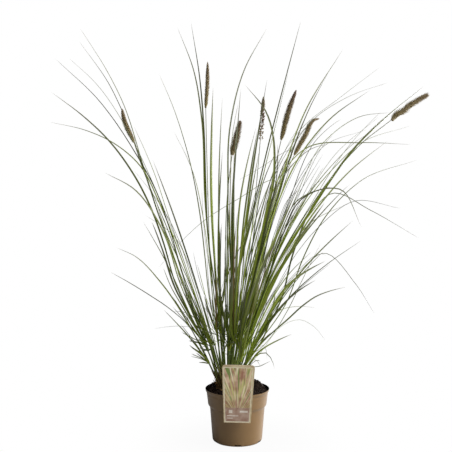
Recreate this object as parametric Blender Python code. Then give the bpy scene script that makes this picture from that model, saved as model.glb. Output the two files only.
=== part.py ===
"""A clump of fountain grass in a 17 cm nursery pot, in metres, +Z up, seen from the front along +Y.

The pot stands on z = 0 with its axis on the Z axis. Soil fills it, a hanging card is hooked over
its front rim, and a dense crown of old leaf bases sits in the soil a little to the left of the
axis. From the crown rise 42 shoots of three leaves each and 7 flowering stems with their spikes.
"""

import math
import random

import bmesh
import bpy
from mathutils import Vector
from mathutils.bvhtree import BVHTree

MM = 0.001
GAP = 0.3 * MM  # air between pieces that touch

# The pot, as (radius, height) in millimetres: up the outside, over the lip and down the inside.
POT_SIDES = 36
POT_HEIGHT = 137
POT_OUTSIDE = (
    (61.5, 0),
    (64.2, 1.2),
    (65.6, 3.6),
    (66.2, 7),
    (71, 67),
    (72.6, 87),
    (74.2, 91),
    (77, 94.5),
    (78, 98),
    (81, 124),
    (81.6, 128.5),
    (83.6, 130),
    (85, POT_HEIGHT),
)
POT_INSIDE = (
    (83.8, POT_HEIGHT),
    (82.3, 130.8),
    (80.4, 129.2),
    (79.8, 124),
    (76.8, 98.6),
    (75.6, 95.3),
    (73, 92),
    (71.4, 87.5),
    (69.8, 67),
    (65, 7.2),
    (64.4, 4.4),
    (60.8, 1.5),
)
POT_FLOOR = 1.5
DRAIN_NOTCHES = 6
DRAIN_NOTCH_SIZE = (19, 9, 12)  # across, in from the corner, tall
DRAIN_NOTCH_CENTRE = (66.5, 0)  # radius and height of the notch's middle

# The soil: its height at the wall and under the crown, and the heaps on it as
# (right, back, height, spread).
SOIL_AT_WALL = 129
SOIL_AT_CROWN = 136
SOIL_HEAPS = ((54, 34, 26, 13), (66, 16, 8, 11), (-62, 30, 8, 14), (10, 62, 7, 16), (30, -55, 4, 14))
SOIL_RINGS = (0.0, 0.22, 0.45, 0.7, 1.0)  # from the wall to the crown's edge
SOIL_LUMP = 1.3
BED_EDGE = 4  # how far the soil's flat bed reaches past the crown

# The card: a tapered plastic plate in front of the pot, on a tongue bent over the rim into the soil.
CARD_WIDTH_TOP = 84
CARD_WIDTH_BOTTOM = 68
CARD_BOTTOM = 69.5
CARD_TOP = 216
CARD_CORNER = 8
CARD_THICK = 0.8
CARD_BACK_FACE = -85.5
CARD_TILT = math.radians(1.4)
TONGUE_WIDTH = 20
TONGUE_ROUTE = ((-86.0, 141.6), (-81.5, 142.4), (-78.4, 141.2), (-76.4, 138.4), (-74.6, 133), (-69.4, 106))
SLOT_PLAY = 0.6  # air on each side of the tongue in its slot in the soil
SLOT_ENDS = 7  # how far the slot reaches past the tongue's straight end, up and down
SLOT_RAISED = 3.6
SLOT_WIDER = 3

# The crown: where the grass stands, as an ellipse on the soil.
CROWN_RIGHT = -20
CROWN_HALF_WIDTH = 37
CROWN_HALF_DEPTH = 34
CROWN_TOP = 148
CROWN_BELLY = (142, 1.06)  # where the crown is fullest: the height, and its share of the ellipse
CROWN_TOP_SHARE = 0.98
CROWN_RIDGE = 0.03
CROWN_SIDES = 26
FEET_SHARE = 0.88  # how far out towards the crown's edge the outermost shoots stand

# The front view that the leaf routes are read from: the eye, in metres.
EYE_RIGHT = -0.030
EYE_UP = 0.568
EYE_AWAY = 1.74

# Leaves.
SHEATH_RADIUS = 2.3
SHEATH_UPRIGHT = 0.12  # how much more upright a sheath stands than its first leaf leans
SHEATH_CLEAR = 30  # a route's points count from this far above the sheath's top
LEAF_STATIONS = (8, 6, 6)  # how many stretches each of a shoot's three leaves is made of
LEAF_FIRST_WIDTHS = (4.6, 6.2)
LEAF_OTHER_WIDTHS = (3.6, 5.4)
LEAF_KEEL = 0.27  # how deep a folded leaf is, as a share of its width
LEAF_WIDEST_AT = 0.25
LEAF_TAPER = 1.7  # the higher, the longer a leaf keeps its width
LEAF_NARROWS = 0.9  # how much of its width a leaf has lost at the tip
LEAF_SIDE_READ_AT = 100  # how far along a leaf it is read which side of the sheath it leaves from
FOLLOWER_SHARES = (0.22, 0.58)  # a follower's length as a share of its leader's
FOLLOWER_SPREAD = (24, 56)  # how far its tip stands off
FOLLOWER_TURN = math.radians(72)  # to which side of its leader's lean it stands off
FOLLOWER_TURN_VARIES = 0.5
FOLLOWER_DROOP = 0.25  # how much it stands off downwards, for each part it stands off outwards
SPARE = 0.3  # how much a shoot is thickened while it is tested against its neighbours
LONGEST = 990  # a leaf that shows shorter than this from the front leans back or forward
MOST_REACH_BACK = 460
LEAST_REACH_BACK = 130
FULL_REACH_HEIGHT = 900  # leaves whose tips are lower than this lean back less
LEAF_DEPTH_SPREAD = 40  # how far apart in depth the leaves of one shoot end
ARCHING = 1.1  # 1 where a leaf leans back evenly, more where it leans back mostly near its tip
DEPTH_STEP = 12
SIDE_STEP = 6
MOST_DEPTH_STEPS = 16
MOST_SIDE_STEPS = 5
SIDE_COST = 6  # a move to the side shows from the front, so it counts this many times
FEET_TO_TRY = 4
ORDER_HEIGHT = 390  # the height at which the shoots' order from left to right is read

# The shoots from the left of the clump to the right. Each row is the sheath's length and then the
# leaves that show from the front, as (right, up) points from low on the leaf to its tip. Where a row
# has under three leaves, the rest follow the first one.
SHOOTS = (
    (
        60,
        [(-135, 305), (-230, 380), (-340, 445)],
        [(-140, 325), (-205, 420), (-275, 490), (-320, 510)],
        [(-85, 215), (-128, 252)],
    ),
    (
        90,
        [(-125, 335), (-185, 465), (-250, 580)],
        [(-125, 355), (-180, 515), (-215, 625)],
        [(-85, 270), (-130, 335), (-175, 340)],
    ),
    (
        110,
        [(-160, 405), (-215, 580), (-275, 705), (-345, 800), (-495, 925)],
        [(-152, 410), (-195, 545), (-275, 665), (-355, 710)],
    ),
    (
        100,
        [(-145, 470), (-205, 625), (-260, 730), (-340, 795), (-500, 845)],
        [(-125, 435), (-165, 535), (-245, 595)],
    ),
    (
        120,
        [(-142, 435), (-215, 660), (-275, 770), (-365, 900), (-485, 1015)],
        [(-130, 435), (-230, 690), (-310, 850), (-380, 950), (-450, 1015)],
    ),
    (
        130,
        [(-110, 370), (-205, 585), (-250, 725), (-310, 905), (-420, 1095)],
        [(-122, 370), (-208, 595), (-285, 825), (-340, 945), (-420, 1060)],
    ),
    (90, [(-105, 370), (-185, 605), (-220, 710), (-275, 835)], [(-125, 450), (-185, 590), (-275, 715)]),
    (100, [(-95, 370), (-165, 585), (-225, 745)], [(-135, 300), (-220, 295)]),
    (
        140,
        [(-74, 370), (-98, 585), (-135, 770), (-170, 880), (-210, 975)],
        [(-66, 370), (-88, 570), (-120, 715), (-170, 820)],
    ),
    (150, [(-55, 370), (-80, 635), (-90, 860), (-110, 980), (-155, 1100)]),
    (130, [(-55, 370), (-80, 555), (-90, 825), (-100, 955), (-125, 1115)]),
    (110, [(-50, 345), (-70, 665), (-65, 940)]),
    (80, [(-45, 330), (-25, 435), (25, 540)], [(-45, 325), (-50, 595), (-40, 770)]),
    (100, [(-40, 315), (-50, 595), (-40, 910)]),
    (130, [(-26, 315), (-24, 650), (-18, 835), (20, 985), (80, 1095)]),
    (100, [(-16, 345), (-12, 635), (10, 935)]),
    (120, [(-14, 325), (-10, 585), (-8, 770)]),
    (90, [(-6, 370), (8, 635), (50, 830)]),
    (110, [(0, 370), (18, 580), (36, 710), (55, 825)]),
    (110, [(2, 325), (28, 585), (60, 770)]),
    (110, [(4, 325), (46, 570), (115, 745)]),
    (
        120,
        [(8, 370), (58, 585), (115, 770)],
        [(20, 370), (74, 585), (100, 690), (-5, 635), (-90, 580), (-210, 455)],
    ),
    (130, [(4, 345), (44, 595), (100, 835), (135, 980)], [(-4, 345), (30, 635), (80, 960)]),
    (110, [(14, 315), (74, 585), (100, 770), (75, 875), (20, 945)]),
    (140, [(16, 370), (80, 665), (135, 890), (195, 1115)]),
    (
        100,
        [(34, 395), (102, 650), (160, 830)],
        [(24, 395), (106, 665), (145, 770), (50, 715), (5, 690)],
    ),
    (100, [(22, 315), (44, 395), (100, 530), (160, 665)]),
    (
        120,
        [(38, 395), (112, 625), (190, 865), (295, 1040)],
        [(46, 395), (120, 650), (205, 885), (255, 980)],
    ),
    (
        120,
        [(38, 425), (90, 690), (175, 830), (275, 910), (380, 990)],
        [(48, 425), (130, 745), (195, 845), (300, 915), (400, 950)],
    ),
    (110, [(50, 425), (112, 635), (178, 770), (250, 855), (355, 930)]),
    (
        100,
        [(56, 425), (112, 695), (184, 775), (330, 790), (465, 785)],
        [(66, 425), (134, 635), (235, 785), (345, 825)],
    ),
    (
        110,
        [(60, 395), (150, 625), (240, 800), (330, 860), (410, 870)],
        [(68, 395), (178, 625), (330, 790), (395, 835), (460, 835)],
    ),
    (120, [(72, 395), (180, 585), (320, 785), (495, 940)], [(62, 395), (168, 610), (260, 755), (380, 860)]),
    (90, [(80, 395), (175, 570), (290, 745), (360, 815)], [(86, 390), (198, 595), (300, 715), (400, 795)]),
    (80, [(133, 370), (173, 477), (240, 600), (330, 690), (480, 745)], [(94, 410), (196, 575), (290, 625)]),
    (
        70,
        [(62, 395), (150, 625), (230, 760)],
        [(66, 395), (158, 635), (220, 715), (275, 665), (330, 565)],
    ),
    (
        80,
        [(86, 395), (210, 585), (300, 680)],
        [(98, 395), (220, 570), (310, 635), (365, 665), (435, 615)],
        [(78, 395), (180, 580), (255, 655), (355, 610), (485, 535)],
    ),
    (
        60,
        [(65, 290), (115, 375), (190, 470), (310, 585)],
        [(70, 305), (140, 415), (235, 475)],
        [(65, 315), (140, 440), (200, 500)],
    ),
    (
        60,
        [(65, 280), (140, 380), (250, 475), (330, 530)],
        [(65, 305), (170, 450), (230, 495), (315, 415), (367, 333)],
        [(70, 290), (155, 390), (210, 425)],
    ),
    (
        50,
        [(65, 255), (130, 315), (210, 380), (290, 405)],
        [(60, 270), (110, 340), (210, 350)],
        [(60, 230), (115, 300), (168, 319), (234, 264)],
    ),
    (40, [(55, 230), (100, 260), (145, 280)], [(50, 235), (70, 250), (80, 210), (95, 170)]),
    (25, [(38, 208), (55, 225), (75, 230), (100, 185)], [(30, 186), (50, 212), (62, 190), (75, 154)]),
)

# The flowering stems: where each stands in the crown as (right, back), how far back its spike
# stands, the spike's thickness, the stem's route and the spike's route.
FLOWERS = (
    (-48, -8, -60, 13, [(-125, 370), (-180, 545), (-250, 715)], [(-275, 790), (-301, 850), (-307, 880)]),
    (-36, 14, 60, 12, [(-65, 370), (-80, 715)], [(-84, 882), (-80, 945), (-79, 1005)]),
    (-22, -20, -140, 18, [(-25, 315), (-30, 585), (-25, 665)], [(-14, 757), (-2, 805), (8, 848)]),
    (-12, 12, 40, 14, [(15, 370), (50, 665)], [(61, 792), (66, 850), (70, 912)]),
    (-4, -6, -70, 15, [(30, 370), (65, 555), (105, 745)], [(117, 797), (136, 872), (157, 930)]),
    (4, 16, 90, 15, [(35, 370), (75, 530), (110, 665)], [(152, 757), (181, 810), (205, 850), (218, 854)]),
    (
        8,
        -10,
        -30,
        18,
        [(65, 370), (180, 595), (290, 745), (380, 830)],
        [(410, 850), (461, 890), (506, 917)],
    ),
)
STEM_RADIUS_LOW = 1.4
STEM_RADIUS_HIGH = 0.9
STEM_SIDES = 5
STEM_STATIONS = 8
SPIKE_SIDES = 6
SPIKE_WHORLS = 6
SPIKE_NECK = 0.35  # the spike's foot, as a share of its thickness
SPIKE_WAIST = 0.72  # between two whorls of bristles
SPIKE_ENDS = (0.14, 0.86)  # the part of half a sine wave that a spike's outline follows
SPIKE_FULLNESS = 0.6  # the lower, the fuller the outline
STEM_RISE = 0.05  # how upright a stem leaves the crown
STEM_END_READ_AT = 0.97  # where the stem's last lean is read


def principled(name, colour, roughness, metallic=0.0):
    """A plain finish in linear RGB."""
    finish = bpy.data.materials.new(name)
    finish.use_nodes = True
    shader = finish.node_tree.nodes["Principled BSDF"]
    shader.inputs["Base Color"].default_value = (*colour, 1)
    shader.inputs["Roughness"].default_value = roughness
    shader.inputs["Metallic"].default_value = metallic
    finish.diffuse_color = (*colour, 1)
    return finish


def add_object(name, mesh, finish):
    piece = bpy.data.objects.new(name, mesh)
    bpy.context.scene.collection.objects.link(piece)
    mesh.materials.append(finish)
    return piece


def object_from_faces(name, points, faces, finish):
    mesh = bpy.data.meshes.new(name)
    mesh.from_pydata([point[:] for point in points], [], faces)
    mesh.shade_smooth()
    mesh.set_sharp_from_angle(angle=math.radians(35))
    return add_object(name, mesh, finish)


def object_from_bmesh(name, bm, finish):
    bmesh.ops.recalc_face_normals(bm, faces=bm.faces)
    mesh = bpy.data.meshes.new(name)
    bm.to_mesh(mesh)
    bm.free()
    mesh.shade_smooth()
    mesh.set_sharp_from_angle(angle=math.radians(30))
    return add_object(name, mesh, finish)


def box_cutter(name, size, place, turn):
    """A box that only cuts: its size and place in millimetres, then turned about its own middle."""
    bm = bmesh.new()
    bmesh.ops.create_cube(bm, size=1)
    bmesh.ops.scale(bm, vec=[side * MM for side in size], verts=bm.verts)
    mesh = bpy.data.meshes.new(name)
    bm.to_mesh(mesh)
    bm.free()
    cutter = bpy.data.objects.new(name, mesh)
    bpy.context.scene.collection.objects.link(cutter)
    cutter.location = [value * MM for value in place]
    cutter.rotation_euler = turn
    cutter.hide_render = True
    cutter.display_type = "WIRE"
    return cutter


def add_boolean(piece, other, operation):
    modifier = piece.modifiers.new(other.name, "BOOLEAN")
    modifier.object = other
    modifier.operation = operation
    modifier.solver = "EXACT"


def turned(profile):
    """A bmesh turned about the Z axis from (radius, height) points that start and end on the axis."""
    bm = bmesh.new()
    points = [bm.verts.new((radius * MM, 0, height * MM)) for radius, height in profile]
    edges = [bm.edges.new(pair) for pair in zip(points, points[1:])]
    bmesh.ops.spin(
        bm,
        geom=points + edges,
        cent=(0, 0, 0),
        axis=(0, 0, 1),
        angle=math.tau,
        steps=POT_SIDES,
        use_merge=True,
    )
    bmesh.ops.remove_doubles(bm, verts=bm.verts, dist=1e-6)
    return bm


def build_pot():
    taupe = principled("pot_taupe_plastic", (0.235, 0.165, 0.095), 0.55)
    profile = ((0, 0), *POT_OUTSIDE, *POT_INSIDE, (0, POT_FLOOR))
    pot = object_from_bmesh("pot", turned(profile), taupe)
    across, inwards, tall = DRAIN_NOTCH_SIZE
    radius, height = DRAIN_NOTCH_CENTRE
    for notch in range(DRAIN_NOTCHES):
        angle = math.tau * notch / DRAIN_NOTCHES - math.pi / 2
        place = (radius * math.cos(angle), radius * math.sin(angle), height)
        cutter = box_cutter(f"drain_notch_{notch + 1}", (inwards, across, tall), place, (0, 0, angle))
        add_boolean(pot, cutter, "DIFFERENCE")
    return pot


def soil_height(right, back, towards_crown):
    """The soil's height: up from the wall to the crown, with heaps and lumps between them."""
    height = SOIL_AT_WALL + (SOIL_AT_CROWN - SOIL_AT_WALL) * towards_crown
    between = math.sin(math.pi * towards_crown)
    for heap_right, heap_back, tall, spread in SOIL_HEAPS:
        away = math.hypot(right - heap_right, back - heap_back) / spread
        height += tall * math.exp(-away * away / 2) * (1 - towards_crown**6) * (0.25 + 0.75 * between)
    lump = math.sin(0.31 * right + 1.7) * math.cos(0.27 * back - 0.4)
    return height + SOIL_LUMP * lump * between


def build_soil():
    """Soil that follows the pot's inside, with a flat bed for the crown."""
    peat = principled("soil_dark_peat", (0.012, 0.008, 0.006), 0.95)
    clear = GAP / MM + 0.15
    wall = [(radius - clear, height) for radius, height in POT_INSIDE if height < SOIL_AT_WALL]
    floor_radius = wall[-1][0]
    wall = [(wall[0][0] + 0.2, SOIL_AT_WALL), *wall[:-1], (floor_radius, POT_FLOOR + clear)]
    bed_wide = CROWN_HALF_WIDTH + BED_EDGE
    bed_deep = CROWN_HALF_DEPTH + BED_EDGE
    bm = bmesh.new()

    def ring(place):
        spots = [place(math.tau * step / POT_SIDES) for step in range(POT_SIDES)]
        return [bm.verts.new(Vector(spot) * MM) for spot in spots]

    def top_ring(towards):
        def place(angle):
            outer = Vector((math.cos(angle), math.sin(angle))) * wall[0][0]
            inner = Vector((CROWN_RIGHT + bed_wide * math.cos(angle), bed_deep * math.sin(angle)))
            spot = outer.lerp(inner, towards)
            return (spot.x, spot.y, soil_height(spot.x, spot.y, towards))

        return ring(place)

    rings = [top_ring(towards) for towards in reversed(SOIL_RINGS)]
    for radius, height in wall[1:]:
        rings.append(ring(lambda a, r=radius, h=height: (r * math.cos(a), r * math.sin(a), h)))
    for upper, lower in zip(rings, rings[1:]):
        for step in range(POT_SIDES):
            after = (step + 1) % POT_SIDES
            bm.faces.new((upper[step], upper[after], lower[after], lower[step]))
    bm.faces.new(rings[0])
    bm.faces.new(rings[-1])
    bmesh.ops.triangulate(bm, faces=[face for face in bm.faces if len(face.verts) == 4])
    soil = object_from_bmesh("soil", bm, peat)
    high, low = (Vector(spot) for spot in TONGUE_ROUTE[-2:])
    down = (low - high).normalized()
    middle = (high + low) / 2 - down * SLOT_RAISED
    slot = (TONGUE_WIDTH + SLOT_WIDER, CARD_THICK + 2 * SLOT_PLAY, (low - high).length + 2 * SLOT_ENDS)
    cutter = box_cutter("card_slot", slot, (0, middle.x, middle.y), (math.atan2(down.x, -down.y), 0, 0))
    add_boolean(soil, cutter, "DIFFERENCE")
    return soil


def build_card():
    """The plate with its rounded top corners, joined to the tongue that hooks it over the rim."""
    plastic = principled("card_printed_plastic", (0.42, 0.36, 0.22), 0.35)
    half_top = CARD_WIDTH_TOP / 2
    half_bottom = CARD_WIDTH_BOTTOM / 2
    outline = [(-half_bottom, CARD_BOTTOM), (half_bottom, CARD_BOTTOM)]
    for side, start in ((1, 0), (-1, 90)):
        for step in range(6):
            angle = math.radians(start + 18 * step)
            right = side * (half_top - CARD_CORNER) + CARD_CORNER * math.cos(angle)
            outline.append((right, CARD_TOP - CARD_CORNER + CARD_CORNER * math.sin(angle)))
    bm = bmesh.new()
    corners = [bm.verts.new((right * MM, CARD_BACK_FACE * MM, up * MM)) for right, up in outline]
    plate = bmesh.ops.extrude_face_region(bm, geom=[bm.faces.new(corners)])
    moved = [part for part in plate["geom"] if isinstance(part, bmesh.types.BMVert)]
    bmesh.ops.translate(bm, vec=(0, -CARD_THICK * MM, 0), verts=moved)
    card = object_from_bmesh("plant_card", bm, plastic)

    bm = bmesh.new()
    middle = [Vector((0, back * MM, up * MM)) for back, up in TONGUE_ROUTE]
    rows = []
    for step, spot in enumerate(middle):
        ahead = middle[min(step + 1, len(middle) - 1)] - middle[max(step - 1, 0)]
        out = Vector((0, ahead.z, -ahead.y)).normalized() * (CARD_THICK * MM / 2)
        rows.append((spot + out, spot - out))
    edge = [bm.verts.new(upper) for upper, _ in rows] + [bm.verts.new(lower) for _, lower in rows[::-1]]
    bmesh.ops.translate(bm, vec=(-TONGUE_WIDTH * MM / 2, 0, 0), verts=edge)
    strip = bmesh.ops.extrude_face_region(bm, geom=[bm.faces.new(edge)])
    moved = [part for part in strip["geom"] if isinstance(part, bmesh.types.BMVert)]
    bmesh.ops.translate(bm, vec=(TONGUE_WIDTH * MM, 0, 0), verts=moved)
    tongue = object_from_bmesh("card_tongue", bm, plastic)
    tongue.hide_render = True
    tongue.display_type = "WIRE"
    add_boolean(card, tongue, "UNION")
    pivot = Vector((0, 0, POT_HEIGHT * MM))
    for vertex in card.data.vertices:
        away = vertex.co - pivot
        vertex.co.x = pivot.x + away.x * math.cos(CARD_TILT) + away.z * math.sin(CARD_TILT)
        vertex.co.z = pivot.z - away.x * math.sin(CARD_TILT) + away.z * math.cos(CARD_TILT)
    return card


def build_crown():
    """The crown: a low ridged drum of old leaf bases with a level top."""
    straw = principled("crown_old_sheaths", (0.10, 0.055, 0.025), 0.9)
    levels = ((SOIL_AT_CROWN + GAP / MM, 1.0), CROWN_BELLY, (CROWN_TOP, CROWN_TOP_SHARE))
    bm = bmesh.new()
    rings = []
    for height, share in levels:
        ring = []
        for step in range(CROWN_SIDES):
            angle = math.tau * step / CROWN_SIDES
            ridge = share * (1 + CROWN_RIDGE * (-1) ** step)
            right = CROWN_RIGHT + CROWN_HALF_WIDTH * ridge * math.cos(angle)
            back = CROWN_HALF_DEPTH * ridge * math.sin(angle)
            ring.append(bm.verts.new((right * MM, back * MM, height * MM)))
        rings.append(ring)
    for lower, upper in zip(rings, rings[1:]):
        for step in range(CROWN_SIDES):
            after = (step + 1) % CROWN_SIDES
            bm.faces.new((lower[step], lower[after], upper[after], upper[step]))
    bm.faces.new(rings[0])
    bm.faces.new(rings[-1])
    return object_from_bmesh("crown", bm, straw)


def feet_of(count):
    """Where shoots and stems stand in the crown, in millimetres: a sunflower spiral, evenly spread."""
    golden = math.pi * (3 - math.sqrt(5))
    feet = []
    for number in range(count):
        out = FEET_SHARE * math.sqrt((number + 0.5) / count)
        angle = golden * number
        right = CROWN_RIGHT + CROWN_HALF_WIDTH * out * math.cos(angle)
        feet.append((right, CROWN_HALF_DEPTH * out * math.sin(angle)))
    return feet


def seen_from_front(right, up, back):
    """The point that stands this far back and shows at (right, up) in the pot axis's plane."""
    scale = (EYE_AWAY + back) / EYE_AWAY
    return Vector((EYE_RIGHT + (right - EYE_RIGHT) * scale, back, EYE_UP + (up - EYE_UP) * scale))


def route_in_space(foot, seen, back):
    """A route's points in metres: it leaves the foot and arches to the depth given at its tip."""
    flat = [Vector((foot.x, foot.z))] + [Vector((right, up)) * MM for right, up in seen]
    lengths = [0.0]
    for low, high in zip(flat, flat[1:]):
        lengths.append(lengths[-1] + (high - low).length)
    points = []
    for spot, length in zip(flat[1:], lengths[1:]):
        share = (length / lengths[-1]) ** ARCHING
        points.append(seen_from_front(spot.x, spot.y, foot.y + (back - foot.y) * share))
    return points


class Curve:
    """A smooth curve through points, read by its share from the first point to the last."""

    def __init__(self, points, start_direction):
        self.points = points
        self.knots = [0.0]
        for low, high in zip(points, points[1:]):
            self.knots.append(self.knots[-1] + (high - low).length)
        self.length = self.knots[-1]
        slopes = [start_direction.normalized()]
        for step in range(1, len(points) - 1):
            before = self.knots[step] - self.knots[step - 1]
            after = self.knots[step + 1] - self.knots[step]
            first = (points[step] - points[step - 1]) / before
            second = (points[step + 1] - points[step]) / after
            slopes.append((first * after + second * before) / (before + after))
        last = (points[-1] - points[-2]) / (self.knots[-1] - self.knots[-2])
        slopes.append((last * 3 - slopes[-1]) / 2 if len(points) > 2 else last)
        self.slopes = slopes

    def at(self, share):
        place = min(max(share, 0.0), 1.0) * self.length
        step = 0
        while step < len(self.points) - 2 and place > self.knots[step + 1]:
            step += 1
        span = self.knots[step + 1] - self.knots[step]
        t = (place - self.knots[step]) / span
        near = self.points[step] * (2 * t**3 - 3 * t**2 + 1) + self.points[step + 1] * (3 * t**2 - 2 * t**3)
        bend = self.slopes[step] * (t**3 - 2 * t**2 + t) + self.slopes[step + 1] * (t**3 - t**2)
        return near + bend * span

    def stations(self, count):
        """Evenly spread shares, each drawn to a point of the route where one is close."""
        step = 1 / count
        shares = []
        for number in range(1, count):
            share = number * step
            close = [knot / self.length for knot in self.knots[1:-1]]
            close = [knot for knot in close if abs(knot - share) < step / 2]
            shares.append(min(close, key=lambda knot: abs(knot - share)) if close else share)
        return shares


def frames_along(spots, first_ahead, first_up):
    """At each spot the way ahead and an up direction that turns no more than it must."""
    up = first_up
    frames = []
    for step, spot in enumerate(spots):
        before = spots[step - 1] if step else spot
        after = spots[step + 1] if step + 1 < len(spots) else spot
        ahead = (after - before).normalized() if step else first_ahead
        up = (up - ahead * up.dot(ahead)).normalized()
        frames.append((ahead, up))
    return frames


def side_faces(lower, upper):
    """Two triangles for each side between two rings of vertex numbers."""
    faces = []
    for step, first in enumerate(lower):
        after = (step + 1) % len(lower)
        faces.append((first, lower[after], upper[after]))
        faces.append((first, upper[after], upper[step]))
    return faces


def leaf_width(share, width, root_width):
    """Narrow where it leaves the sheath, widest a quarter of the way up, then down to a fine tip."""
    if share < LEAF_WIDEST_AT:
        rise = math.sin(math.pi / 2 * share / LEAF_WIDEST_AT)
        return root_width + (width - root_width) * rise
    fall = (share - LEAF_WIDEST_AT) / (1 - LEAF_WIDEST_AT)
    return width * (1 - LEAF_NARROWS * fall**LEAF_TAPER)


class Shoot:
    """A tiller: a six-sided sheath whose top parts into three keeled leaves."""

    def __init__(self, foot, sheath_length, routes, widths, spare=0.0):
        self.points = []
        self.faces = []
        axis = (routes[0][0] - foot).normalized()
        axis = (axis + Vector((0, 0, SHEATH_UPRIGHT))).normalized()
        top = foot + axis * sheath_length * MM
        curves = [self.leaf_curve(top, axis, route) for route in routes]
        radius = SHEATH_RADIUS * MM + spare
        right = Vector((1, 0, 0)).cross(axis).cross(axis).normalized() * -1
        across = axis.cross(right)
        reads = [curve.at(LEAF_SIDE_READ_AT * MM / curve.length) for curve in curves]
        middle = sum(reads, Vector()) / 3
        turns = [math.atan2((read - middle).dot(across), (read - middle).dot(right)) for read in reads]
        order = sorted(range(3), key=lambda leaf: turns[leaf])
        drift = [turns[leaf] - math.tau / 3 * place for place, leaf in enumerate(order)]
        start = math.atan2(sum(map(math.sin, drift)), sum(map(math.cos, drift)))
        outs = []
        for step in range(6):
            angle = start + math.pi / 3 * (step - 1)
            outs.append(right * math.cos(angle) + across * math.sin(angle))
        bottom = self.add([self.on_floor(foot, out * radius, axis) for out in outs])
        lip = self.add([top + out * radius for out in outs])
        self.faces.append(tuple(reversed(bottom)))
        self.faces += side_faces(bottom, lip)
        self.faces.append((lip[0], lip[2], lip[4]))
        for place, leaf in enumerate(order):
            root = [lip[2 * place], lip[2 * place + 1], lip[(2 * place + 2) % 6]]
            keel = outs[2 * place + 1]
            stations = curves[leaf].stations(LEAF_STATIONS[place])
            self.add_leaf(root, keel, axis, curves[leaf], stations, widths[leaf] * MM + 2 * spare, spare)

    @staticmethod
    def leaf_curve(top, axis, route):
        """The leaf's curve from the sheath's top, past the route's points that lie above it."""
        above = [point for point in route if (point - top).dot(axis) > SHEATH_CLEAR * MM]
        return Curve([top, *(above or route[-1:])], axis)

    @staticmethod
    def on_floor(foot, offset, axis):
        """A corner of the sheath's foot, slid along the sheath to the crown's level top."""
        return foot + offset - axis * (offset.z / axis.z)

    def add(self, points):
        first = len(self.points)
        self.points += points
        return list(range(first, len(self.points)))

    def add_leaf(self, root, keel, axis, curve, stations, width, spare):
        offset = keel * (SHEATH_RADIUS * MM / 2)
        spots = [curve.at(0) + offset]
        for share in [*stations, 1.0]:
            spots.append(curve.at(share) + offset)
        frames = frames_along(spots, axis, -keel)
        rings = [root]
        root_width = (self.points[root[0]] - self.points[root[2]]).length
        for share, spot, (ahead, up) in list(zip([0, *stations, 1], spots, frames))[1:-1]:
            side = ahead.cross(up) * (leaf_width(share, width, root_width) / 2)
            depth = up * (side.length * 2 * LEAF_KEEL + spare)
            rings.append(self.add([spot + side, spot - depth, spot - side]))
        tip = self.add([spots[-1]])[0]
        for lower, upper in zip(rings, rings[1:]):
            self.faces += side_faces(lower, upper)
        last = rings[-1]
        self.faces += [(last[0], last[1], tip), (last[1], last[2], tip), (last[2], last[0], tip)]

    def tree(self):
        return BVHTree.FromPolygons(self.points, self.faces)

    def crosses_itself(self):
        """Whether any two faces meet that don't share a corner."""
        tree = self.tree()
        corners = [set(face) for face in self.faces]
        return any(corners[one].isdisjoint(corners[other]) for one, other in tree.overlap(tree))


def follower(route, side, luck):
    """A route for a leaf that keeps its leader company: shorter, and leaning off to one side."""
    share = luck.uniform(*FOLLOWER_SHARES)
    turn = side + luck.uniform(-FOLLOWER_TURN_VARIES, FOLLOWER_TURN_VARIES)
    away = Vector((math.cos(turn), math.sin(turn), -FOLLOWER_DROOP)) * (luck.uniform(*FOLLOWER_SPREAD) * MM)
    curve = Curve(route, route[1] - route[0])
    quarters = (0.25, 0.5, 0.75, 1.0)
    return [curve.at(along * share) + away * along**ARCHING for along in quarters]


def lean_of(row):
    """How steeply a shoot leans to the right, from its first leaf's lowest point above a set height."""
    high_enough = [point for point in row[1] if point[1] >= ORDER_HEIGHT]
    right, up = high_enough[0] if high_enough else row[1][-1]
    return (right - CROWN_RIGHT) / (up - CROWN_TOP)


def moves():
    """Ways to set a shoot aside, as (right, back) in millimetres, the smallest first."""
    sideways = range(-MOST_SIDE_STEPS, MOST_SIDE_STEPS + 1)
    depths = range(-MOST_DEPTH_STEPS, MOST_DEPTH_STEPS + 1)
    both = [(side * SIDE_STEP, depth * DEPTH_STEP) for side in sideways for depth in depths]
    return sorted(both, key=lambda move: (SIDE_COST * abs(move[0]) + abs(move[1]), move))


def shoot_routes(foot, seen, aside, luck):
    """The three leaves' routes: those read from the front view, then followers of the first."""
    tip_right, tip_up = seen[0][-1]
    left_over = LONGEST**2 - tip_right**2 - (tip_up - CROWN_TOP) ** 2
    reach = min(MOST_REACH_BACK, math.sqrt(max(left_over, LEAST_REACH_BACK**2)))
    reach *= min(1, tip_up / FULL_REACH_HEIGHT)
    back = (reach * foot.y / (CROWN_HALF_DEPTH * MM) + aside[1]) * MM
    seen = [[(right + aside[0], up) for right, up in leaf] for leaf in seen]
    routes = [route_in_space(foot, seen[0], back)]
    for other in seen[1:]:
        apart = luck.uniform(-LEAF_DEPTH_SPREAD, LEAF_DEPTH_SPREAD) * MM
        routes.append(route_in_space(foot, other, back + apart))
    lead = math.atan2(routes[0][-1].y - foot.y, routes[0][-1].x - foot.x)
    while len(routes) < 3:
        side = FOLLOWER_TURN * (1 if len(routes) == 1 else -1)
        routes.append(follower([foot, *routes[0]], lead + side, luck))
    return routes


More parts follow.
